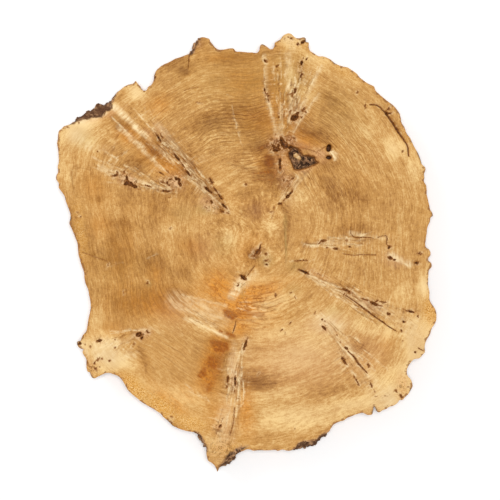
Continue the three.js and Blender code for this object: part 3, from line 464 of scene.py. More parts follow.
# Where it is tinted pink or olive, with the same numbers. Of these and the areas that follow
# the strongest counts.
PINK_AREAS = [
    (110, -225, 260, 130, 0, .55), (160, -150, 110, 60, 0, .5), (-150, -130, 90, 60, -20, .3),
    (250, -200, 120, 80, -30, .4), (-90, 10, 60, 60, 0, .25), (20, 85, 50, 44, 0, .35),
    (78, 226, 56, 36, 0, .6), (74, 178, 34, 70, 0, .5), (112, 216, 60, 22, -10, .6),
    (150, 200, 46, 28, -10, .9), (122, 170, 56, 16, 15, .6), (82, 148, 36, 44, 0, .5),
    (-245, 150, 44, 30, -30, .6), (-144, 145, 44, 34, -45, .6), (-76, 96, 44, 30, -20, .6),
    (-175, 252, 50, 16, -48, .5), (-200, 245, 30, 20, -45, .4), (-280, 285, 70, 16, 20, .6),
    (-24, -245, 24, 110, 4, .5), (-40, -350, 40, 90, 5, .5), (300, -14, 60, 30, -20, .4),
    (150, -50, 80, 20, -25, .4), (-105, 428, 30, 26, 0, .5), (-322, -236, 40, 30, -60, .5),
    (-212, -166, 44, 22, 15, .6), (104, 290, 36, 60, 0, .4), (240, -105, 90, 24, -25, .3),
    (-3, -185, 24, 40, 0, .4), (170, -160, 60, 30, -40, .3), (320, -270, 30, 60, 0, .4),
]
OLIVE_AREAS = [
    (0, 350, 260, 130, 0, .35), (84, 350, 100, 150, 0, .5), (-190, -305, 160, 46, -38, .45),
    (-250, -40, 160, 160, 0, .2), (-20, 250, 160, 80, 0, .2), (190, 290, 140, 110, -45, .25),
    (80.5, 20, 4, 84, 2, .9), (-82, 88, 50, 26, 0, .6), (42, -18, 36, 30, 0, .6),
    (-45, 15, 60, 50, 0, .3), (80, 60, 10, 40, 0, .6), (-200, -64, 20, 20, 0, .5),
    (-130, 80, 60, 40, 0, .25), (100, -30, 40, 30, 0, .4), (75, 258, 40, 50, 0, .4),
    (95, -75, 40, 30, 0, .3), (40, -110, 50, 20, 0, .3), (-330, 230, 50, 40, 0, .3),
    (-8, -82, 14, 40, 0, .4), (180, -120, 40, 30, 0, .3), (90, 330, 30, 60, 0, .3),
]

# Where rings show as brown lines, where fibres fan out, and where the wood is calm or stippled
RINGY_AREAS = [
    (-20, 275, 200, 110, 5, 1), (-60, 235, 180, 90, 10, .7), (20, 190, 120, 90, 0, .8),
    (120, 150, 60, 90, 30, .9), (190, 110, 90, 90, 30, .8), (190, 240, 130, 200, 45, .55),
    (-150, 300, 120, 100, 30, .5), (-240, -40, 160, 220, 0, .35), (-130, -210, 160, 110, -30, .4),
    (250, -30, 160, 140, 0, .3), (30, -110, 160, 90, 0, .7), (200, -210, 180, 120, 40, .3),
    (40, -265, 110, 50, 5, .5), (180, -285, 120, 40, 5, .3), (-20, 360, 120, 60, 0, .5),
    (290, 60, 120, 120, 0, .3),
]
FANNED_AREAS = [
    (-150, 200, 240, 70, -45, 1), (-215, 275, 90, 70, -45, .7), (-260, 160, 130, 46, -14, .8),
    (-170, 140, 90, 50, -20, .9), (-70, 100, 80, 40, -40, .8), (90, 330, 90, 190, 0, 1),
    (75, 255, 50, 80, 0, .8), (100, 410, 100, 60, 0, .6), (80, 190, 60, 100, 0, .5),
    (90, 130, 60, 60, 0, .8), (-25, -260, 60, 160, 5, 1), (-40, -360, 80, 100, 5, .8),
    (210, 15, 230, 60, 0, .5), (240, -100, 280, 60, -28, 1), (340, -150, 80, 90, 0, .7),
    (210, -210, 190, 60, -52, .9), (290, -290, 80, 60, 0, .6), (-260, -190, 150, 60, 15, .8),
    (-5, -65, 70, 40, 60, .9), (160, -140, 60, 40, -30, .6), (-310, 240, 120, 70, 0, .3),
]
CALM_AREAS = [(-150, -215, 190, 130, -32, 1), (-270, -150, 70, 60, 0, .6), (-60, 170, 60, 40, 0, .3)]
STIPPLED_AREAS = [
    (-225, -280, 90, 70, -42, 1), (-175, -318, 90, 70, -32, 1), (-110, -330, 90, 90, -15, 1),
    (-340, 40, 36, 170, 5, .5), (-330, 110, 50, 50, 0, .4), (110, 425, 80, 40, 0, .4),
    (345, -150, 80, 130, 0, .4), (376, -120, 34, 70, 0, .8), (0, -60, 200, 60, 0, .3),
    (300, 60, 160, 120, 0, .25), (320, -275, 40, 60, 0, .6), (-40, -400, 90, 50, 0, .7),
    (-320, -240, 50, 40, 0, .5), (330, 230, 30, 120, 25, .3), (200, 370, 130, 26, -32, .4),
]

# Bark that the saw went through, on the upper face: strength and outline
BARK_PATCHES = [
    (1, [(-54, -446), (-40, -440), (-28, -430), (-15, -418), (0, -404), (6, -398), (-10, -396),
         (-26, -402), (-40, -416), (-52, -434)]),
    (1, [(-104, -368), (-97, -371), (-91, -384), (-86, -398), (-81, -410), (-90, -410), (-104, -395)]),
    (1, [(14, -404), (24, -406), (36, -405), (40, -412), (28, -420), (14, -416)]),
    (1, [(-122, 424), (-118, 432), (-112, 437), (-104, 439), (-96, 434), (-92, 440), (-104, 450),
         (-126, 442)]),
    (.8, [(-126, 430), (-121, 424), (-120, 410), (-127, 408)]),
    (1, [(-372, 260), (-364, 262), (-362, 272), (-370, 276)]),
]

# Bark that shows on the sawn edge itself or in its notches: x, y and reach
BARK_SPOTS = [
    (354, 198, 8), (357, 190, 7), (120, 436, 7), (33, 425, 5), (337, -283, 4), (-345, -186, 6),
    (-358, 66, 8), (263, -325, 9), (-155, -352, 8), (-317, -253, 8), (-30, -430, 14), (381, 76, 5),
    (374, -14, 4), (180, 388, 5), (-190, 360, 6),
]


def hash01(cells, seed):
    """Whole-number cells, one row each, to numbers from 0 to 1 that never change."""
    h = np.full(len(cells), seed, dtype=np.uint32)
    for column in cells.T:
        h ^= column.astype(np.int64).astype(np.uint32)
        for factor, shift in HASH_STEPS:
            h *= np.uint32(factor)
            h ^= h >> np.uint32(shift)
    return h / (2.0 ** 32 - 1)


def noise(points, size, seed):
    """Smooth noise from -1 to 1, about size across, at each row of points."""
    place = np.asarray(points, float) / size
    cell = np.floor(place).astype(np.int64)
    share = place - cell
    share = share * share * (3 - 2 * share)
    total = np.zeros(len(place))
    for corner in itertools.product((0, 1), repeat=place.shape[1]):
        step = np.array(corner)
        weight = np.prod(np.where(step, share, 1 - share), axis=1)
        total += weight * hash01(cell + step, seed)
    return 2 * total - 1


def rough_noise(points, size, octaves, seed):
    """Noise with finer and weaker noise added to it."""
    total = np.zeros(len(points))
    for k in range(octaves):
        total += noise(points, size / 2 ** k, seed + k) / 2 ** k
    return total / (2 - 2 ** (1 - octaves))


def cell_distance(points, size, seed):
    """How far each point is from the nearest of seeded points, as a share of their spacing."""
    place = np.asarray(points, float) / size
    cell = np.floor(place).astype(np.int64)
    nearest = np.full(len(place), np.inf)
    for corner in itertools.product((-1, 0, 1), repeat=place.shape[1]):
        other = cell + np.array(corner)
        centre = [hash01(other, seed + axis) for axis in range(place.shape[1])]
        away = other + np.column_stack(centre) - place
        nearest = np.minimum(nearest, np.linalg.norm(away, axis=1))
    return nearest


def wobbled(points, amount, size, seed):
    """Points moved about a little, for ragged edges."""
    moves = [rough_noise(points, size, 2, seed + axis) for axis in range(2)]
    return points + amount * np.column_stack(moves)


def smooth_step(value, low, high):
    """0 below low, 1 above high, and smoothly from one to the other between them."""
    share = np.clip((value - low) / (high - low), 0, 1)
    return share * share * (3 - 2 * share)


def falling(value, low, high):
    """1 below low, 0 above high, and smoothly from one to the other between them."""
    return 1 - smooth_step(value, low, high)


def closed(outline):
    """An outline with its first point again at its end."""
    return list(outline) + [outline[0]]


def distance_to(points, x, y):
    """How far each point is from one place."""
    return np.hypot(points[:, 0] - x, points[:, 1] - y)


def ellipse_radius(points, x, y, length, width, turned):
    """How far each point is from an ellipse's middle, where 1 is its edge."""
    angle = math.radians(turned)
    dx = points[:, 0] - x
    dy = points[:, 1] - y
    along = dx * math.cos(angle) + dy * math.sin(angle)
    across = dy * math.cos(angle) - dx * math.sin(angle)
    return np.hypot(along / (length / 2), across / (width / 2))


def line_distance(points, line):
    """Distance to a line of points, and how far along it the nearest place is, 0 to 1."""
    line = np.array(line, float)
    lengths = np.linalg.norm(np.diff(line, axis=0), axis=1)
    before = np.concatenate([[0], np.cumsum(lengths)])
    best = np.full(len(points), np.inf)
    where = np.zeros(len(points))
    for start, end, length, done in zip(line[:-1], line[1:], lengths, before):
        share = np.clip((points - start) @ (end - start) / length ** 2, 0, 1)
        distance = np.linalg.norm(points - start - share[:, None] * (end - start), axis=1)
        nearer = distance < best
        best = np.where(nearer, distance, best)
        where = np.where(nearer, (done + share * length) / before[-1], where)
    return best, where


def outline_distance(points, outline):
    """Distance to an outline, negative inside it."""
    ring = closed(outline)
    distance, _ = line_distance(points, ring)
    inside = np.zeros(len(points), bool)
    for (x0, y0), (x1, y1) in zip(ring[:-1], ring[1:]):
        if y0 != y1:
            spans = (y0 > points[:, 1]) != (y1 > points[:, 1])
            crossing = x0 + (points[:, 1] - y0) * (x1 - x0) / (y1 - y0)
            inside ^= spans & (points[:, 0] < crossing)
    return np.where(inside, -distance, distance)


def area_share(points, x, y, length, width, turned, strength):
    """How much each point lies in a soft ellipse."""
    return strength * falling(ellipse_radius(points, x, y, length, width, turned), 0, 1.5)


def line_share(points, width, strength, line):
    """How much each point lies on a line that thins out to half its width at both ends."""
    distance, share = line_distance(points, line)
    half = width / 2 * (0.5 + 0.5 * np.sin(math.pi * share))
    return strength * falling(distance / half, 0.4, 1.5)


def bundle_share(points, x0, y0, x1, y1, width0, width1, strength):
    """How much each point lies on a straight bundle with soft sides."""
    distance, share = line_distance(points, [(x0, y0), (x1, y1)])
    half = (width0 + (width1 - width0) * share) / 2
    return strength * falling(distance / half, 0.1, 1.4)


def patch_share(points, strength, outline):
    """How much each point lies in an outline."""
    return strength * falling(outline_distance(points, outline), -2.5, 1.5)


def mask(points, share, marks):
    """The strongest share of some marks at each point."""
    strongest = np.zeros(len(points))
    for mark in marks:
        strongest = np.maximum(strongest, share(points, *mark))
    return strongest


def area_sum(points, areas):
    """Soft ellipses added up at each point."""
    total = np.zeros(len(points))
    for *ellipse, amount in areas:
        total += amount * np.exp(-1.3 * ellipse_radius(points, *ellipse) ** 2)
    return total


def thin_lines(brown):
    """The pale or the brown lines and the fans' fibres: width, strength and middle line."""
    chance = random.Random(5 if brown else 4)
    widest = 2.6 if brown else 4
    lines = list(BROWN_LINES if brown else PALE_LINES)
    for x, y, first, last, near, far, *counts in FIBRE_FANS:
        for _ in range(counts[brown]):
            start = near + (far - near) * chance.uniform(0.0, 0.6)
            end = start + (far - near) * chance.uniform(0.1, 0.3)
            angle = math.radians(chance.uniform(first, last))
            bow = chance.uniform(-0.03, 0.03)
            line = [(x + reach * math.cos(angle + bent), y + reach * math.sin(angle + bent))
                    for reach, bent in ((start, 0), ((start + end) / 2, bow), (end, 0))]
            lines.append((chance.uniform(1.8, widest), chance.uniform(0.4, 0.9), line))
    return lines


def cuts(points):
    """Of each pit, crack and blot: how near the points are (1 is its edge), depth, strength."""
    ragged = wobbled(points, 0.8, 4, seed=11)
    steady = wobbled(points, 0.5, 6, seed=13)
    torn = wobbled(points, 2.2, 5, seed=15)
    for *ellipse, strength in FLECKS:
        deepest = min(FLECK_DEEPEST, FLECK_DEPTH * ellipse[3]) * strength ** 2
        yield ellipse_radius(ragged, *ellipse), deepest, strength
    for width, deepest, strength, line in CRACKS:
        distance, share = line_distance(steady, line)
        half = width / 2 * (0.35 + 0.65 * np.sin(math.pi * np.clip(share, 0.04, 0.96)) ** 0.5)
        yield distance / half, deepest, strength
    for strength, deepest, outline in BLOTS:
        yield 1 + outline_distance(torn, outline) / 2.4, deepest, strength


def recesses(points):
    """How deep each point lies in a pit or crack, how dark it is there, and how near to it."""
    depth, dark, fringe = np.zeros((3, len(points)))
    for radius, deepest, strength in cuts(points):
        depth = np.maximum(depth, deepest * falling(radius, 0.25, 1.0))
        dark = np.maximum(dark, strength * falling(radius, 0.6, 1.3))
        fringe = np.maximum(fringe, strength * falling(radius, 1.1, 2.4))
    # the knot holes are made darker than any fleck: painted shade inside the deep holes
    for hole in KNOT_HOLES:
        radius = ellipse_radius(points, *hole)
        depth = np.maximum(depth, KNOT_HOLE_DEPTH * falling(radius, 0.72, 1.0))
        dark = np.maximum(dark, 1.6 * falling(radius, 0.7, 1.15))
    beside_pocket = np.abs(outline_distance(wobbled(points, 3, 9, seed=17), POCKET))
    dark = np.maximum(dark, 0.62 * falling(beside_pocket, 0.5, 4.5))
    return depth, dark, fringe


def pocket_relief(points):
    """Depth of the bark pocket, how much of each point is its bark, and of the pale chip."""
    ragged = wobbled(points, 1.2, 7, seed=31)
    inside = smooth_step(-outline_distance(ragged, POCKET), -0.4, 3.0)
    lumps = POCKET_LUMPS * rough_noise(points, 9, 3, seed=41)
    chip = smooth_step(-outline_distance(ragged, CHIP), -0.8, 1.4)
    depth = inside * (POCKET_DEPTH + lumps)
    depth = depth * (1 - chip) + (CHIP_DROP + 0.4 * lumps) * chip * inside
    return depth, inside * (1 - chip), chip * inside


def upper_face(points):
    """How deep each inner point of the upper sawn face lies, and its looks."""
    depth, dark, fringe = recesses(points)
    pocket, pocket_bark, chip = pocket_relief(points)
    sawn_bark = mask(wobbled(points, 4, 9, seed=91), patch_share, BARK_PATCHES)
    looks = {"dark": dark, "fringe": fringe, "pale": chip,
             "bark": np.maximum(pocket_bark, sawn_bark),
             "pocket": np.maximum(pocket_bark, 0.8 * sawn_bark)}
    return np.maximum(depth, pocket), looks


def read(parts, name, width=1, kind=float):
    """One property of all the points, edges, corners or faces of a mesh, a row for each."""
    values = np.zeros(len(parts) * width, kind)
    parts.foreach_get(name, values)
    return values.reshape(-1, width) if width > 1 else values


def chained(edges):
    """Loops of corners from unordered pairs of neighbours."""
    beside = {}
    for a, b in edges:
        beside.setdefault(a, []).append(b)
        beside.setdefault(b, []).append(a)
    loops = []
    while beside:
        first = min(beside)
        loop = [first]
        here = beside.pop(first)[0]
        before = first
        while here != first:
            loop.append(here)
            following = [corner for corner in beside.pop(here) if corner != before]
            before, here = here, following[0]
        loops.append(loop)
    return loops


def level_edges(mesh):
    """The CAD's corners, and by height the level edges that no flat face has on both sides."""
    rounded = np.round(read(mesh.vertices, "co", 3), 6)
    corners, which = np.unique(rounded, axis=0, return_inverse=True)
    which = which.ravel()
    flat_uses = {}
    for polygon in mesh.polygons:
        ids = [int(which[v]) for v in polygon.vertices]
        is_flat = len({corners[i][2] for i in ids}) == 1
        for a, b in zip(ids, ids[1:] + ids[:1]):
            if corners[a][2] == corners[b][2]:
                edge = (min(a, b), max(a, b))
                flat_uses[edge] = flat_uses.get(edge, 0) + is_flat
    levels = {}
    for edge, uses in flat_uses.items():
        if uses <= 1:
            levels.setdefault(corners[edge[0]][2], []).append(edge)
    return corners, levels


def wall_rows(mesh):
    """The CAD wall as rings of points from the lowest row up, all starting alike."""
    corners, levels = level_edges(mesh)

    def breadth(ids):
        return np.ptp(corners[np.ravel(ids)][:, 0])

    # pits and the pocket have level edges too, but narrower ones
    least = 0.8 * max(breadth(edges) for edges in levels.values())
    rows = []
    for _, edges in sorted(levels.items()):
        if breadth(edges) >= least:
            ring = corners[max(chained(edges), key=breadth)]
            after = np.roll(ring, -1, axis=0)
            area = np.sum(ring[:, 0] * after[:, 1] - ring[:, 1] * after[:, 0])
            rows.append(ring if area > 0 else ring[::-1])
    for k in range(len(rows) - 2, -1, -1):
        misfits = [np.sum((np.roll(rows[k], shift, axis=0) - rows[k + 1])[:, :2] ** 2)
                   for shift in range(len(rows[k]))]
        rows[k] = np.roll(rows[k], int(np.argmin(misfits)), axis=0)
    return rows


def hermite(values, places, at, closed_length=None):
    """A smooth curve through values that stand at places, read at other places.

    closed_length is the length of a closed curve, or None for an open one.
    """
    values = np.asarray(values, float)
    places = np.asarray(places, float)
    if closed_length is not None:
        values = np.concatenate([values[-2:], values, values[:3]])
        places = np.concatenate([places[-2:] - closed_length, places, places[:3] + closed_length])
    slopes = np.gradient(values, places, axis=0)
    k = np.clip(np.searchsorted(places, at, side="right") - 1, 0, len(places) - 2)
    shape = (-1,) + (1,) * (values.ndim - 1)
    span = (places[k + 1] - places[k]).reshape(shape)
    t = (at - places[k]).reshape(shape) / span
    return ((2 * t ** 3 - 3 * t ** 2 + 1) * values[k] + (t ** 3 - 2 * t ** 2 + t) * span * slopes[k]
            + (3 * t ** 2 - 2 * t ** 3) * values[k + 1] + (t ** 3 - t ** 2) * span * slopes[k + 1])


def fine_wall(rows):
    """The wall as a fine grid of points, rows up and columns round, and how far it flares."""
    top = rows[-1]
    gaps = np.linalg.norm(np.roll(top, -1, axis=0) - top, axis=1)
    places = np.concatenate([[0], np.cumsum(gaps)[:-1]])
    counts = np.maximum(1, np.round(gaps / WALL_STEP)).astype(int)
    steps = np.concatenate([place + gap * np.arange(count) / count
                            for place, gap, count in zip(places, gaps, counts)])
    rings = np.array([hermite(row, places, steps, gaps.sum()) for row in rows])
    heights = np.array([row[0][2] for row in rows])
    share = np.linspace(0, 1, WALL_ROWS)
    wanted = heights[-1] * (share + ROWS_CROWDED * np.sin(2 * math.pi * share) / math.pi)
    wanted = np.clip(wanted, 0, heights[-1])
    wall = hermite(rings, heights, wanted)
    wall[:, :, 2] = wanted[:, None]
    reach = np.linalg.norm(rings[:, :, :2], axis=2)
    return wall, (reach - reach[-1]).max(axis=0)


def bark_share(plan, flare):
    """How much of each point of the wall is bark and not bare wood."""
    share = smooth_step(flare, 1.5, 4.0)
    for x, y, reach in BARK_SPOTS:
        share = np.maximum(share, falling(distance_to(plan, x, y), 0.6 * reach, 1.5 * reach))
    patches = smooth_step(rough_noise(plan, 70, 3, seed=71), 0.28, 0.42)
    return np.maximum(share, patches * falling(plan[:, 2], 44, 52))


def turn(a, b, c):
    """Positive where going from a by b to c turns left."""
    return ((b[:, 0] - a[:, 0]) * (c[:, 1] - a[:, 1])
            - (b[:, 1] - a[:, 1]) * (c[:, 0] - a[:, 0]))


def untangled(ring):
    """A closed ring of points, smoothed only where near parts of it cross, until none do."""
    ring = ring.copy()
    for _ in range(UNTANGLE_ROUNDS):
        end = np.roll(ring, -1, axis=0)
        tangled = np.zeros(len(ring), bool)
        for reach in range(2, UNTANGLE_REACH):
            other = np.roll(ring, -reach, axis=0)
            other_end = np.roll(end, -reach, axis=0)
            crossed = turn(ring, end, other) * turn(ring, end, other_end) < 0
            crossed &= turn(other, other_end, ring) * turn(other, other_end, end) < 0
            for step in range(-1, reach + 3):
                tangled |= np.roll(crossed, step)
        if not tangled.any():
            break
        between = (np.roll(ring, 1, axis=0) + end) / 2
        ring[tangled] = 0.5 * ring[tangled] + 0.5 * between[tangled]
    return ring


def wall_relief(wall, flare):
    """The wall with its fine relief pressed in, and its looks."""
    rows, columns = wall.shape[:2]
    points = wall.reshape(-1, 3)
    below = wall[-1, 0, 2] - points[:, 2]
    sway = np.clip(below / SWAY_BELOW, 0, 1) * BARK_SWAY * rough_noise(points, 26, 3, seed=73)
    swayed = np.tile(np.arange(columns), rows) + np.round(sway).astype(int)
    bark = bark_share(points, flare[swayed % columns])

    def between_knobs(size, seed):
        return np.clip(cell_distance(points, size, seed), 0, 1) ** 2

    bare = (PIMPLE_DEPTH * between_knobs(PIMPLE_SIZE, 5)
            + KNOB_DEPTH * between_knobs(KNOB_SIZE, 6))
    ridges = np.abs(rough_noise(points * (1, 1, 0.6), FISSURE_SIZE, 3, seed=21))
    cracked = FISSURE_DEPTH * falling(ridges, 0.0, 0.4)
    crumble = BARK_CRUMBLE * (rough_noise(points, 4.5, 2, seed=51) * 0.5 + 0.5)
    groove = bare * (1 - bark) + (cracked + crumble) * bark
    fade = smooth_step(below, 0, 4) * smooth_step(points[:, 2], -3, 3)
    edge = EDGE_CRUMBLE * (rough_noise(points, 6, 2, seed=61) * 0.5 + 0.5)
    depth = (groove * fade + edge).reshape(rows, columns)
    ahead = np.roll(wall, -2, axis=1) - np.roll(wall, 2, axis=1)
    inwards = np.dstack([-ahead[:, :, 1], ahead[:, :, 0]])
    inwards /= np.linalg.norm(inwards, axis=2, keepdims=True)
    pressed = wall.copy()
    pressed[:, :, :2] += inwards * depth[:, :, None]
    is_wall = np.ones((rows, columns))
    is_wall[-1] = EDGE_SHARE
    # groove is the depth of the relief, which the material uses for painted shade in the wall's
    # hollows and the bark's fissures
    looks = {"wall": is_wall.ravel(), "bark": bark, "groove": np.clip(groove / 4, 0, 1)}
    return np.array([untangled(ring) for ring in pressed]), looks


def rim_reach(rim):
    """Directions all round the rings' middle, and how far the rim lies in each, smoothed."""
    away = rim - RING_MIDDLE
    angles = np.arctan2(away[:, 1], away[:, 0])
    order = np.argsort(angles)
    turns = np.linspace(-math.pi, math.pi, 721)
    reach = np.interp(turns, angles[order], np.linalg.norm(away, axis=1)[order],
                      period=2 * math.pi)
    kernel = np.hanning(RIM_SMOOTHED)
    kernel /= kernel.sum()
    padded = np.concatenate([reach[-RIM_SMOOTHED:-1], reach, reach[1:RIM_SMOOTHED]])
    smooth = np.convolve(padded, kernel, mode="same")
    return turns, smooth[RIM_SMOOTHED - 1:1 - RIM_SMOOTHED]


def ring_marks(plan, rim):
    """The growth ring of each point, its direction from the middle, and how muddled it is."""
    turns, smooth = rim_reach(rim)
    from_middle = plan - RING_MIDDLE
    radius = np.linalg.norm(from_middle, axis=1)
    angle = np.arctan2(from_middle[:, 1], from_middle[:, 0])
    here = np.interp(angle, turns, smooth)
    follow = RIM_FOLLOWED * smooth_step(radius / here, 0.1, 0.9)
    rings = radius * (smooth.mean() / here) ** follow
    muddled = falling(radius + 30 * noise(plan, 60, seed=85), 50, 140)
    for x, y, reach, push in RING_BULGES:
        rings -= push * np.exp(-(distance_to(plan, x, y) / reach) ** 2)
    rings += 7 * rough_noise(plan, 120, 2, seed=81)
    rings += (3.2 + 9 * muddled) * rough_noise(plan, 34, 3, seed=83)
    return {"ring": rings / RING_WIDTH, "east": np.cos(angle), "north": np.sin(angle),
            "muddled": muddled}


def plan_tree(points):
    """A tree that finds the nearest of some plan points."""
    tree = KDTree(len(points))
    for i, (x, y) in enumerate(points):
        tree.insert((x, y, 0), i)
    tree.balance()
    return tree


def face_points(rim, step, extra):
    """Points inside the rim: a hexagonal grid, thinned where the extra points are closer."""
    low, high = rim.min(axis=0), rim.max(axis=0)
    rows = []
    for k, y in enumerate(np.arange(low[1], high[1], step * math.sqrt(3) / 2)):
        xs = np.arange(low[0] + (step / 2 if k % 2 else 0), high[0], step)
        rows.append(np.column_stack([xs, np.full(len(xs), y)]))
    grid = np.concatenate(rows)
    if len(extra):
        tree = plan_tree(extra)
        clear = [tree.find((x, y, 0))[2] > 0.7 * step for x, y in grid]
        grid = np.concatenate([grid[clear], extra])
    tree = plan_tree(rim)
    ahead = np.roll(rim, -1, axis=0) - np.roll(rim, 1, axis=0)
    kept = []
    for x, y in grid:
        _, i, distance = tree.find((x, y, 0))
        side = ahead[i, 0] * (y - rim[i, 1]) - ahead[i, 1] * (x - rim[i, 0])
        kept.append(side > 0 and distance > 0.55 * step)
    return grid[kept]


def spaced(points, gap):
    """The points with those dropped that lie closer than gap to one already kept."""
    kept = {}
    for x, y in points:
        column, row = math.floor(x / gap), math.floor(y / gap)
        around = itertools.product((column - 1, column, column + 1), (row - 1, row, row + 1))
        near = [kept[cell] for cell in around if cell in kept]
        if all(math.hypot(x - a, y - b) >= gap for a, b in near):
            kept[column, row] = (x, y)
    return np.array(list(kept.values()))


def ellipse_ring(x, y, length, width, turned, scale):
    """Points round an ellipse, scaled from its middle."""
    a, b = scale * length / 2, scale * width / 2
    count = max(6, round(math.pi * (a + b) / FLECK_STEP))
    t = 2 * math.pi * np.arange(count) / count
    angle = math.radians(turned)
    px, py = a * np.cos(t), b * np.sin(t)
    return np.column_stack([x + px * math.cos(angle) - py * math.sin(angle),
                            y + px * math.sin(angle) + py * math.cos(angle)])


def line_rows(line, offsets, step):
    """Points along a line and beside it."""
    line = np.array(line, float)
    lengths = np.concatenate([[0], np.cumsum(np.linalg.norm(np.diff(line, axis=0), axis=1))])
    at = np.linspace(0, lengths[-1], max(2, round(lengths[-1] / step)) + 1)
    middle = np.column_stack([np.interp(at, lengths, line[:, axis]) for axis in range(2)])
    along = np.gradient(middle, axis=0)
    along /= np.linalg.norm(along, axis=1, keepdims=True)
    across = np.column_stack([-along[:, 1], along[:, 0]])
    return np.concatenate([middle + offset * across for offset in offsets])


def pocket_grid():
    """Points two millimetres apart all over the inside of the bark pocket."""
    low, high = np.min(POCKET, axis=0), np.max(POCKET, axis=0)
    columns, rows = (np.arange(low[axis], high[axis], 2.0) for axis in (0, 1))
    grid = np.array(list(itertools.product(columns, rows)))
    return grid[outline_distance(grid, POCKET) < -2]


def detail_points():
    """Extra points of the upper face, where pits, cracks and sharp markings need them."""
    sets = []
    for ellipses, scales in (([fleck[:5] for fleck in FLECKS], (0.5, 0.85, 1.15)),
                             (KNOT_HOLES, (0.4, 0.72, 0.86, 1.0, 1.15))):
        for ellipse in ellipses:
            sets.append([ellipse[:2]])
            sets += [ellipse_ring(*ellipse, scale) for scale in scales]
    for width, _, _, line in CRACKS:
        sets.append(line_rows(line, (0, width / 2, -width / 2, width, -width), 1.6))
    for width, _, line in thin_lines(brown=False) + thin_lines(brown=True) + RUST_LINES:
        sets.append(line_rows(line, (0, 0.6 * width, -0.6 * width), 2.6))
    for _, outline in RUST_PATCHES:
        sets.append(line_rows(closed(outline), (0, 2), 2.4))
    for _, _, outline in BLOTS:
        sets.append(line_rows(closed(outline), (0, 1.3, -1.3, 3, -3), 1.4))
    sets.append(line_rows(closed(POCKET), (0, 1.2, -1.2, 2.6, -2.6), 1.3))
    sets.append(line_rows(closed(CHIP), (0, 1.2, -1.2), 1.3))
    sets.append(pocket_grid())
    return spaced(np.concatenate([np.asarray(some, float) for some in sets]), 1.1)


def sawn_face(rim, step, extra):
    """A flat face filled with triangles: all its plan points, rim first, and the triangles."""
    points = np.concatenate([rim, face_points(rim, step, extra)])
    made, _, faces, originals, *_ = delaunay_2d_cdt(
        [Vector(point) for point in points.tolist()], [], [list(range(len(rim)))], 1, 1e-5)
    source = [ids[0] if ids else -1 for ids in originals]
    if -1 in source or len(made) != len(points):
        raise RuntimeError("the sawn face has points that the rim or grid doesn't")
    return points, [[source[v] for v in face] for face in faces]


def plan_shift(rows):
    """How far the part lies from the plan that is drawn from the photo, in mm."""
    right, back = (rows[-1][:, axis].max() / MM for axis in (0, 1))
    return np.array([right - PLAN_RIGHT, back - PLAN_TOP, 0])


def slab_faces(columns, top_faces, low_faces, low_start):
    """The faces of the wall, then the upper sawn face, then the lower one.

    A sawn face numbers its rim first, then its inner points. The inner points of the lower
    one begin at low_start in the mesh.
    """
    first_top = (WALL_ROWS - 1) * columns
    faces = []
    for start in range(0, first_top, columns):
        for i in range(columns):
            j = (i + 1) % columns
            faces.append([start + i, start + j, start + columns + j, start + columns + i])
    faces += [[first_top + v for v in face] for face in top_faces]
    faces += [[v if v < columns else low_start + v - columns for v in reversed(face)]
              for face in low_faces]
    return faces


def rim_closeness(plan, rim):
    """1 at the sawn edge, falling to 0 at RIM_TINT inside it."""
    tree = plan_tree(rim)
    distance = np.array([tree.find((x, y, 0))[2] for x, y in plan])
    return 1 - np.clip(distance / RIM_TINT, 0, 1)


def markings(plan):
    """What the lists of marks and areas say of each point."""
    shaky = wobbled(plan, 2.0, 12, seed=93)
    shakier = wobbled(plan, 3.5, 14, seed=97)
    return {
        "tone": area_sum(shakier, TONE_AREAS),
        "warm": area_sum(shakier, WARM_AREAS),
        "pink": mask(shakier, area_share, PINK_AREAS),
        "olive": mask(plan, area_share, OLIVE_AREAS),
        "ringy": mask(plan, area_share, RINGY_AREAS),
        "fanned": mask(plan, area_share, FANNED_AREAS),
        "stipple": mask(plan, area_share, STIPPLED_AREAS),
        "calm": mask(plan, area_share, CALM_AREAS),
        "knotty": mask(shaky, area_share, KNOTTY_AREAS),
        "bundle": mask(shaky, bundle_share, PALE_BUNDLES),
        "pale": mask(shaky, line_share, thin_lines(brown=False)),
        "brown": np.maximum(mask(shaky, line_share, thin_lines(brown=True)),
                            mask(shakier, patch_share, BROWN_PATCHES)),
        "rust": np.maximum(mask(shakier, line_share, RUST_LINES),
                           mask(shakier, patch_share, RUST_PATCHES)),
    }


def sharpen_rims(mesh, columns):
    """Keeps the two sawn edges crisp under smooth shading."""
    ends = read(mesh.edges, "vertices", 2, np.int32)
    step = np.abs(ends[:, 0] - ends[:, 1])
    along_row = (step == 1) | (step == columns - 1)
    flags = np.zeros(len(ends), bool)
    for start in (0, (WALL_ROWS - 1) * columns):
        flags |= along_row & ((ends >= start) & (ends < start + columns)).all(axis=1)
    mesh.attributes.new("sharp_edge", "BOOLEAN", "EDGE").data.foreach_set("value", flags)


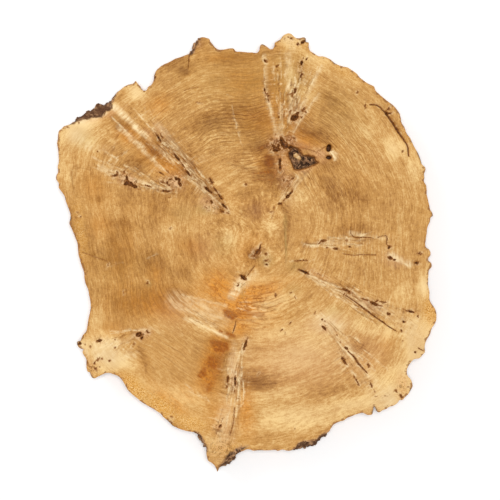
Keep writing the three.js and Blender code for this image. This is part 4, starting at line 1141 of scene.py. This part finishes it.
def lay_out_uv(mesh, columns, top_count):
    """A map for the bake: the upper face large, the lower face small, the wall in strips."""
    place = read(mesh.vertices, "co", 3)
    unit = (place - place.min(axis=0))[:, :2] / np.ptp(place[:, 1])
    unit = unit[read(mesh.loops, "vertex_index", kind=np.int32)]
    corners = read(mesh.polygons, "loop_total", kind=np.int32)
    face = np.repeat(np.arange(len(corners)), corners)
    wall_count = (WALL_ROWS - 1) * columns
    top = (face >= wall_count) & (face < wall_count + top_count)
    spot = unit * LOWER_MAP[0] + LOWER_MAP[1]
    spot[top] = unit[top] * UPPER_MAP[0] + UPPER_MAP[1]
    quad, corner = np.divmod(np.arange(4 * wall_count), 4)
    row, column = np.divmod(quad, columns)
    per_strip = math.ceil(columns / WALL_STRIPS)
    strip, within = np.divmod(column, per_strip)
    across = (within + np.isin(corner, (1, 2))) / per_strip
    upward = (row + np.isin(corner, (2, 3))) / (WALL_ROWS - 1)
    spot[:len(quad)] = np.column_stack([0.005 + 0.99 * across,
                                        0.004 + 0.04 * strip + 0.036 * upward])
    mesh.uv_layers.new(name="OFBake").data.foreach_set("uv", spot.ravel())


def placed(name, data, location=(0, 0, 0)):
    """A new object in the scene."""
    made = bpy.data.objects.new(name, data)
    made.location = location
    bpy.context.scene.collection.objects.link(made)
    return made


def build_slab(node, name):
    """The whole slab as one closed mesh object, with its looks as vertex attributes."""
    rows = wall_rows(node.data)
    shift = plan_shift(rows)
    wall, flare = fine_wall([row / MM - shift for row in rows])
    wall, wall_looks = wall_relief(wall, flare)
    columns = wall.shape[1]
    rim = wall[-1, :, :2]
    top_points, top_faces = sawn_face(rim, FACE_STEP, detail_points())
    low_points, low_faces = sawn_face(wall[0, :, :2], UNDERSIDE_STEP, np.zeros((0, 2)))
    inner_top, inner_low = top_points[columns:], low_points[columns:]
    depth, top_looks = upper_face(inner_top)
    points = np.concatenate([
        wall.reshape(-1, 3), np.column_stack([inner_top, wall[-1, 0, 2] - depth]),
        np.column_stack([inner_low, np.zeros(len(inner_low))])])
    faces = slab_faces(columns, top_faces, low_faces, len(points) - len(inner_low))

    mesh = bpy.data.meshes.new(name)
    vertices = np.clip((points + shift) * MM, *np.array(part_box(node.name)))
    mesh.from_pydata(vertices.tolist(), [], faces)
    mesh.validate()
    mesh.update()
    mesh.polygons.foreach_set("use_smooth", np.ones(len(mesh.polygons), bool))
    sharpen_rims(mesh, columns)

    plan = points[:, :2]
    looks = {**ring_marks(plan, rim), **markings(plan), "rim": rim_closeness(plan, rim)}
    for part_looks, start in ((wall_looks, 0), (top_looks, wall[:, :, 0].size)):
        for key, values in part_looks.items():
            part = looks.setdefault(key, np.zeros(len(plan)))[start:start + len(values)]
            part[:] = np.maximum(part, values)
    for key, values in looks.items():
        layer = mesh.attributes.new(key, "FLOAT", "POINT")
        layer.data.foreach_set("value", values.astype(np.float32))
    lay_out_uv(mesh, columns, len(top_faces))
    return placed(name, mesh)


class Value:
    """What a node gives. Sums, products and the calls below make further nodes from it."""

    def __init__(self, nodes, socket):
        self.nodes = nodes
        self.socket = socket

    def __add__(self, other):
        return self.nodes.math("ADD", self, other)

    def __sub__(self, other):
        return self.nodes.math("SUBTRACT", self, other)

    def __rsub__(self, other):
        return self.nodes.math("SUBTRACT", other, self)

    def __mul__(self, other):
        return self.nodes.math("MULTIPLY", self, other)

    def at_least(self, other):
        return self.nodes.math("MAXIMUM", self, other)

    def at_most(self, other):
        return self.nodes.math("MINIMUM", self, other)

    def limited(self):
        """The same sum or product, kept from 0 to 1."""
        self.socket.node.use_clamp = True
        return self

    def between(self, low, high, start=0.0, end=1.0):
        """The value from low to high, smoothly, to start to end."""
        inputs = {"Value": self, "From Min": low, "From Max": high, "To Min": start, "To Max": end}
        return self.nodes.make("MapRange", "Result", inputs, interpolation_type="SMOOTHSTEP")

    def mixed(self, colour, share):
        """This colour with a share of another one."""
        return self.nodes.mix(self, colour, share)

    def stained(self, share):
        """This colour, darkened to the stain's share of its own red, green and blue."""
        return self.nodes.mix(self, STAIN, share, "MULTIPLY")


class Nodes:
    """Short calls for the nodes of one material."""

    def __init__(self, name):
        self.material = bpy.data.materials.new(name)
        self.material.use_nodes = True
        self.tree = self.material.node_tree

    def plug(self, value, socket):
        """Puts a node's value, a number or a colour into a socket."""
        if isinstance(value, Value):
            self.tree.links.new(value.socket, socket)
        else:
            socket.default_value = (*value, 1) if socket.type == "RGBA" else value

    def make(self, kind, output, inputs, **settings):
        """What one output of a new node gives."""
        node = self.tree.nodes.new("ShaderNode" + kind)
        for name, setting in settings.items():
            setattr(node, name, setting)
        for key, value in inputs.items():
            self.plug(value, node.inputs[key])
        return Value(self, node.outputs[output])

    def shaded(self, inputs):
        """The finished material, whose shader takes these inputs."""
        for name, value in inputs.items():
            self.plug(value, self.tree.nodes["Principled BSDF"].inputs[name])
        return self.material

    def attribute(self, name):
        return self.make("Attribute", "Fac", {}, attribute_name=name)

    def math(self, operation, a, b=0.0):
        return self.make("Math", 0, {0: a, 1: b}, operation=operation)

    def joined(self, x, y, z):
        return self.make("CombineXYZ", 0, {0: x, 1: y, 2: z})

    def parts(self, vector):
        split = self.make("SeparateXYZ", 0, {0: vector})
        return [Value(self, output) for output in split.socket.node.outputs]

    def noise(self, place, scale, detail=2.0, roughness=0.5, distortion=0.0):
        return self.make("TexNoise", "Fac", {"Vector": place, "Scale": scale, "Detail": detail,
                                             "Roughness": roughness, "Distortion": distortion})

    def mix(self, a, b, share, blend="MIX"):
        return self.make("Mix", 2, {0: share, 6: a, 7: b},
                         data_type="RGBA", blend_type=blend, clamp_factor=True)


def colour(*screen):
    """A screen colour, 0 to 255, as the linear colour that a shader takes under this light."""
    shares = [value / 255 for value in screen]
    linear = [share / 12.92 if share <= 0.04045 else ((share + 0.055) / 1.055) ** 2.4
              for share in shares]
    return tuple(value / LIGHT_LEVEL for value in linear)


TAN = colour(204, 151, 83)
LIGHT_TAN = colour(244, 206, 140)
DARK_TAN = colour(152, 98, 36)
PALEST_TAN = colour(252, 220, 160)
ORANGE = colour(226, 146, 44)
GREYED = colour(204, 162, 112)
PINK = colour(208, 152, 108)
OLIVE = colour(170, 146, 84)
CREAM = colour(252, 226, 176)
RUST = colour(152, 78, 6)
FLECK_EDGE = colour(152, 94, 38)
FLECK = colour(106, 58, 16)
# the darkest cores of the flecks, and painted shade inside the knot holes
FLECK_CORE_AND_HOLE_SHADE = colour(54, 32, 14)
RIM = colour(140, 92, 46)
GOLD = colour(228, 168, 78)
BARE_WALL = colour(186, 126, 70)
# painted shade for the hollows of the bare edge wall
GROOVE_SHADE = colour(104, 62, 32)
BARK_LIGHT = colour(206, 158, 114)
# the bark's own dark colour, also used as painted shade in its fissures
BARK_DARK_AND_FISSURE_SHADE = colour(92, 58, 36)
POCKET_DARK = colour(48, 30, 20)
KNOT_DARK = colour(116, 66, 20)
KNOT_LIGHT = colour(230, 182, 132)

# What a stain leaves of the wood's own red, green and blue
STAIN = (0.48, 0.34, 0.17)


def wood_grain(n):
    """The attributes and noises that several layers of the burl wood share."""
    g = SimpleNamespace()
    g.place = n.make("TexCoord", "Object", {})
    x, y, _ = n.parts(g.place)
    g.ring, g.ringy, g.fanned, g.muddled = map(n.attribute, ("ring", "ringy", "fanned", "muddled"))
    g.wall, g.bark, g.groove = map(n.attribute, ("wall", "bark", "groove"))
    east, north = map(n.attribute, ("east", "north"))

    def along_rings(rings, metres, detail):
        return n.noise(n.joined(g.ring * rings, x * metres, y * metres), 1.0, detail, 0.6)

    def along_fan(turns, rings, detail):
        return n.noise(n.joined(east * turns, north * turns, g.ring * rings), 1.0, detail, 0.6)

    g.blotches = n.noise(g.place, 16, 4, 0.6)
    g.mottle = n.noise(g.place, 95, 3, 0.6)
    g.fine = n.noise(g.place, 240, 2, 0.6)
    g.crumbs = n.noise(g.place, 115, 4, 0.65, 1.6)
    g.bands = along_rings(0.5, 9, 4)
    g.streaks = along_rings(1.6, 24, 3)
    ringed = n.joined(g.bands, g.streaks, along_rings(3.2, 70, 3))
    bend = n.noise(g.place, 9, 2) * 30
    swirl_hairs = n.noise(n.joined(x * 170 + bend, y * 40, bend), 1.0, 3, 0.65)
    swirled = n.joined(n.noise(g.place, 22, 5, 0.65, 2.2), swirl_hairs, swirl_hairs)
    fanned = n.joined(along_fan(16, 0.12, 3), along_fan(48, 0.3, 3), along_fan(95, 0.5, 2))
    grain = n.mix(ringed, swirled, g.muddled * 0.8).mixed(fanned, g.fanned * 0.85)
    g.grain_bands, g.grain_streaks, g.grain_hairs = n.parts(grain)
    return g


def toned_wood(n, g):
    """The wood's own colour: how pale it is, how warm, and its tints."""
    soft_tone = n.attribute("tone") * 1.6
    tone = soft_tone.at_most(0.62).at_least(-0.6)
    lively = g.muddled * 0.2 + g.ringy * 0.2 + 1.0 - n.attribute("calm") * 0.5
    hairy = g.ringy.at_least(g.fanned) * 1.2 + 2.0
    grit = n.noise(g.place, 430, 2, 0.7)
    for layer, amount in ((g.grain_bands, 1.3), (g.grain_streaks, 1.1), (g.grain_hairs, hairy),
                          (g.blotches, 1.4), (g.mottle, 1.0), (g.fine, 1.1), (grit, 1.3)):
        tone = tone + (layer - 0.5) * amount * lively
    wood = n.mix(TAN, LIGHT_TAN, (tone * 0.95).limited())
    wood = wood.mixed(DARK_TAN, (tone * -0.95).limited())
    wood = wood.mixed(PALEST_TAN, soft_tone.between(0.5, 2.0, 0.0, 0.7))
    wood = wood.stained(soft_tone.between(-0.5, -1.8, 0.0, 0.7))
    warm = n.attribute("warm") + (g.blotches - 0.5) * 0.6
    glow = (warm * g.grain_streaks.between(0.36, 0.62, 0.5, 0.9)).limited()
    wood = wood.mixed(ORANGE, glow * 0.9)
    wood = wood.stained(glow * g.crumbs.between(0.52, 0.40, 0.0, 0.7))
    wood = wood.mixed(GREYED, (warm * -0.6).limited())
    wood = wood.mixed(PINK, n.attribute("pink") * 0.6)
    return wood.mixed(OLIVE, n.attribute("olive") * 0.6)


def ringed_wood(n, g, wood):
    """The growth rings as brown lines that come and go."""
    tooth = n.math("FRACT", g.ring + g.bands * 2.6)
    line = tooth.between(0.5, 0.9) * tooth.between(1.0, 0.9)
    line = line * g.streaks.between(0.36, 0.56, 0.15, 1.15)
    line = line * g.blotches.between(0.38, 0.60, 0.35, 1.05)
    line = line * (g.ringy + 0.05) * (1.0 - g.muddled * 0.8)
    return wood.stained(line).stained(g.ringy * g.bands.between(0.50, 0.66, 0.0, 0.5))


def fibrous_wood(n, g, wood):
    """Pale and dark fibres of the fans, and broad pale bundles."""
    broken = n.noise(g.place, 70, 2).between(0.36, 0.6, 0.2, 1.0)
    pale = n.attribute("pale") * broken * g.crumbs.between(0.40, 0.56, 0.3, 1.0)
    wood = wood.mixed(CREAM, pale * 0.9)
    fibre = g.fanned * g.grain_streaks.between(0.52, 0.66, 0.0, 0.85)
    wood = wood.mixed(CREAM, fibre * g.mottle.between(0.38, 0.56, 0.1, 1.0))
    wood = wood.stained(g.fanned * g.grain_hairs.between(0.46, 0.32, 0.0, 0.8))
    bundle = n.attribute("bundle") * g.grain_streaks.between(0.38, 0.58, 0.3, 1.1)
    return wood.mixed(CREAM, (bundle * g.mottle.between(0.36, 0.54, 0.55, 1.0)).limited())


def stained_wood(n, g, wood):
    """Brown stains, and rust-coloured ones with darker and brighter crumbs."""
    brown = n.attribute("brown") * g.streaks.between(0.36, 0.62, 0.45, 1.15)
    wood = wood.stained((brown * 0.95).limited())
    rust = n.attribute("rust") * g.streaks.between(0.34, 0.58, 0.75, 1.15)
    rust = (rust * g.crumbs.between(0.42, 0.58, 0.6, 1.1)).limited()
    wood = wood.mixed(RUST, rust)
    wood = wood.stained(rust * g.crumbs.between(0.52, 0.36, 0.0, 0.8))
    return wood.mixed(ORANGE, rust * g.crumbs.between(0.52, 0.66, 0.0, 0.5))


def stippled_wood(n, g, wood):
    """The golden stippled wood towards the rim, and the brown of the rim itself."""
    rim = n.attribute("rim") * g.mottle.between(0.35, 0.65, 0.8, 1.1)
    golden = n.attribute("stipple") * rim.between(0.0, 0.5, 0.15, 1.1)
    wood = wood.mixed(GOLD, golden * 0.8)
    dots = n.noise(g.place, 470, 2, 0.6)
    wood = wood.stained(golden * dots.between(0.48, 0.34, 0.0, 1.0))
    wood = wood.mixed(CREAM, golden * dots.between(0.52, 0.66, 0.0, 0.6))
    return wood.mixed(RIM, rim.between(0.92, 1.0, 0.0, 0.85))


def knotty_wood(n, g, wood):
    """Crumbly knots, the dark pits and cracks with their pale fringe, and painted shade in the knot
    holes.
    """
    halo = n.attribute("fringe").between(0.0, 0.6, 0.0, 0.3) * g.mottle.between(0.45, 0.6)
    wood = wood.mixed(CREAM, halo)
    knotty = n.attribute("knotty")
    wood = wood.mixed(KNOT_LIGHT, knotty * g.crumbs.between(0.50, 0.58, 0.0, 0.85))
    wood = wood.mixed(KNOT_DARK, knotty * g.crumbs.between(0.48, 0.40, 0.0, 1.2))
    ragged = n.noise(g.place, 260, 3, 0.6).between(0.34, 0.62, 0.55, 1.3)
    dark = n.attribute("dark") * ragged
    wood = wood.mixed(FLECK_EDGE, dark.between(0.05, 0.45, 0.0, 0.9))
    wood = wood.mixed(FLECK, dark.between(0.35, 0.8, 0.0, 0.95))
    # the darkest, which fills the knot holes, is painted shade there
    return wood.mixed(FLECK_CORE_AND_HOLE_SHADE, dark.between(0.75, 1.25, 0.0, 0.8))


def bare_wall(n, g):
    """The edge wall where its bark has gone, with painted shade in the hollows between its knobs."""
    bare = n.mix(BARE_WALL, ORANGE, g.blotches.between(0.4, 0.7, 0.0, 0.4))
    # darker where the hollows are deepest: painted shade
    bare = bare.mixed(GROOVE_SHADE, g.groove.between(0.1, 0.8, 0.0, 0.85))
    return bare.mixed(LIGHT_TAN, g.fine.between(0.5, 0.75, 0.0, 0.3))


def bark_crust(n, g):
    """Bark of the wall, with painted shade in its fissures, and darker bark where it is sawn through.
    """
    crust = n.mix(BARK_DARK_AND_FISSURE_SHADE, BARK_LIGHT, n.noise(g.place, 110, 5, 0.7).between(0.38, 0.62))
    # darker where the fissures are deepest: painted shade
    crust = crust.mixed(BARK_DARK_AND_FISSURE_SHADE, g.groove.between(0.3, 1.0, 0.0, 0.8))
    gaps = n.noise(g.place, 75, 4, 0.7, 2.0).between(0.42, 0.60, 0.95, 0.0)
    return crust.mixed(POCKET_DARK, n.attribute("pocket") * gaps)


def fine_skin(n, g):
    """The grain that can be felt on the wood, and coarser on the bark and the wall."""
    skin = g.grain_hairs * 0.6 + g.fine * 0.4
    smooth = n.make("Bump", 0, {"Distance": 0.0005, "Strength": 1.0, "Height": skin})
    rough = n.noise(g.place, 160, 5, 0.7) * g.bark.at_least(g.wall * 0.35)
    return n.make("Bump", 0, {"Distance": 0.003, "Strength": 1.0, "Height": rough,
                              "Normal": smooth})


def burl_material():
    """Burl wood and its bark, told apart by the mesh's attributes."""
    n = Nodes("burl_wood")
    g = wood_grain(n)
    wood = toned_wood(n, g)
    for layer in (ringed_wood, fibrous_wood, stained_wood, stippled_wood, knotty_wood):
        wood = layer(n, g, wood)
    wood = wood.mixed(bare_wall(n, g), g.wall)
    wood = wood.mixed(bark_crust(n, g), g.bark)
    roughness = (g.fine.between(0.3, 0.7, 0.52, 0.68) + g.bark * 0.25).limited()
    return n.shaded({"Base Color": wood, "Roughness": roughness, "Specular IOR Level": 0.12,
                     "Normal": fine_skin(n, g)})


def make_floor():
    """A plain pale floor that the slab lies on."""
    mesh = bpy.data.meshes.new("floor")
    half = 8.0
    corners = [(-half, -half, 0), (half, -half, 0), (half, half, 0), (-half, half, 0)]
    mesh.from_pydata(corners, [], [(0, 1, 2, 3)])
    floor = placed("floor", mesh, (0, 0, -0.0005))
    mesh.materials.append(
        Nodes("pale_floor").shaded({"Base Color": (0.97, 0.97, 0.97), "Roughness": 0.9}))


def area_light(name, place, size, power):
    """A square soft light that faces the slab."""
    data = bpy.data.lights.new(name, "AREA")
    data.size = size
    data.energy = power
    placed(name, data, place).rotation_euler = Vector(place).to_track_quat("Z", "Y").to_euler()


def make_light():
    """Soft studio light: one large lamp overhead, a weaker one from the upper left."""
    area_light("overhead", (0.1, 0.1, 4.6), 1.2, 158)
    area_light("side", (-2.4, 2.2, 2.2), 1.6, 26)
    world = bpy.data.worlds.new("studio")
    bpy.context.scene.world = world
    world.use_nodes = True
    background = world.node_tree.nodes["Background"]
    background.inputs["Color"].default_value = (1, 1, 1, 1)
    background.inputs["Strength"].default_value = 0.34
    bpy.context.scene.view_settings.view_transform = "Standard"


def make_camera(thickness, shift):
    """A long lens looking straight down, over a middle that moves with the plan's shift."""
    data = bpy.data.cameras.new("camera")
    data.lens = LENS
    distance = VIEW_WIDTH * LENS / data.sensor_width
    x, y = ((VIEW_MIDDLE[axis] + shift[axis]) * MM for axis in (0, 1))
    bpy.context.scene.camera = placed("camera", data, (x, y, thickness + distance))


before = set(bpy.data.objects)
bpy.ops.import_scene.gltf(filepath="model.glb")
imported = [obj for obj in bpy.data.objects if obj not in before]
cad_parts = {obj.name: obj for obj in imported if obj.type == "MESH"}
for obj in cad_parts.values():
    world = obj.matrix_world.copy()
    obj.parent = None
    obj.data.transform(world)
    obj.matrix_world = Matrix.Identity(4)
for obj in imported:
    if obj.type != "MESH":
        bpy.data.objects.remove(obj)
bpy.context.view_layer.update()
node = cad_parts["burl_slab"]
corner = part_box("burl_slab")[1]
make_camera(corner.z, plan_shift(wall_rows(node.data)))
make_light()
make_floor()

slab = build_slab(node, "burl_slab_finished")
slab.data.materials.append(burl_material())
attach(slab, "root")
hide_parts("burl_slab")
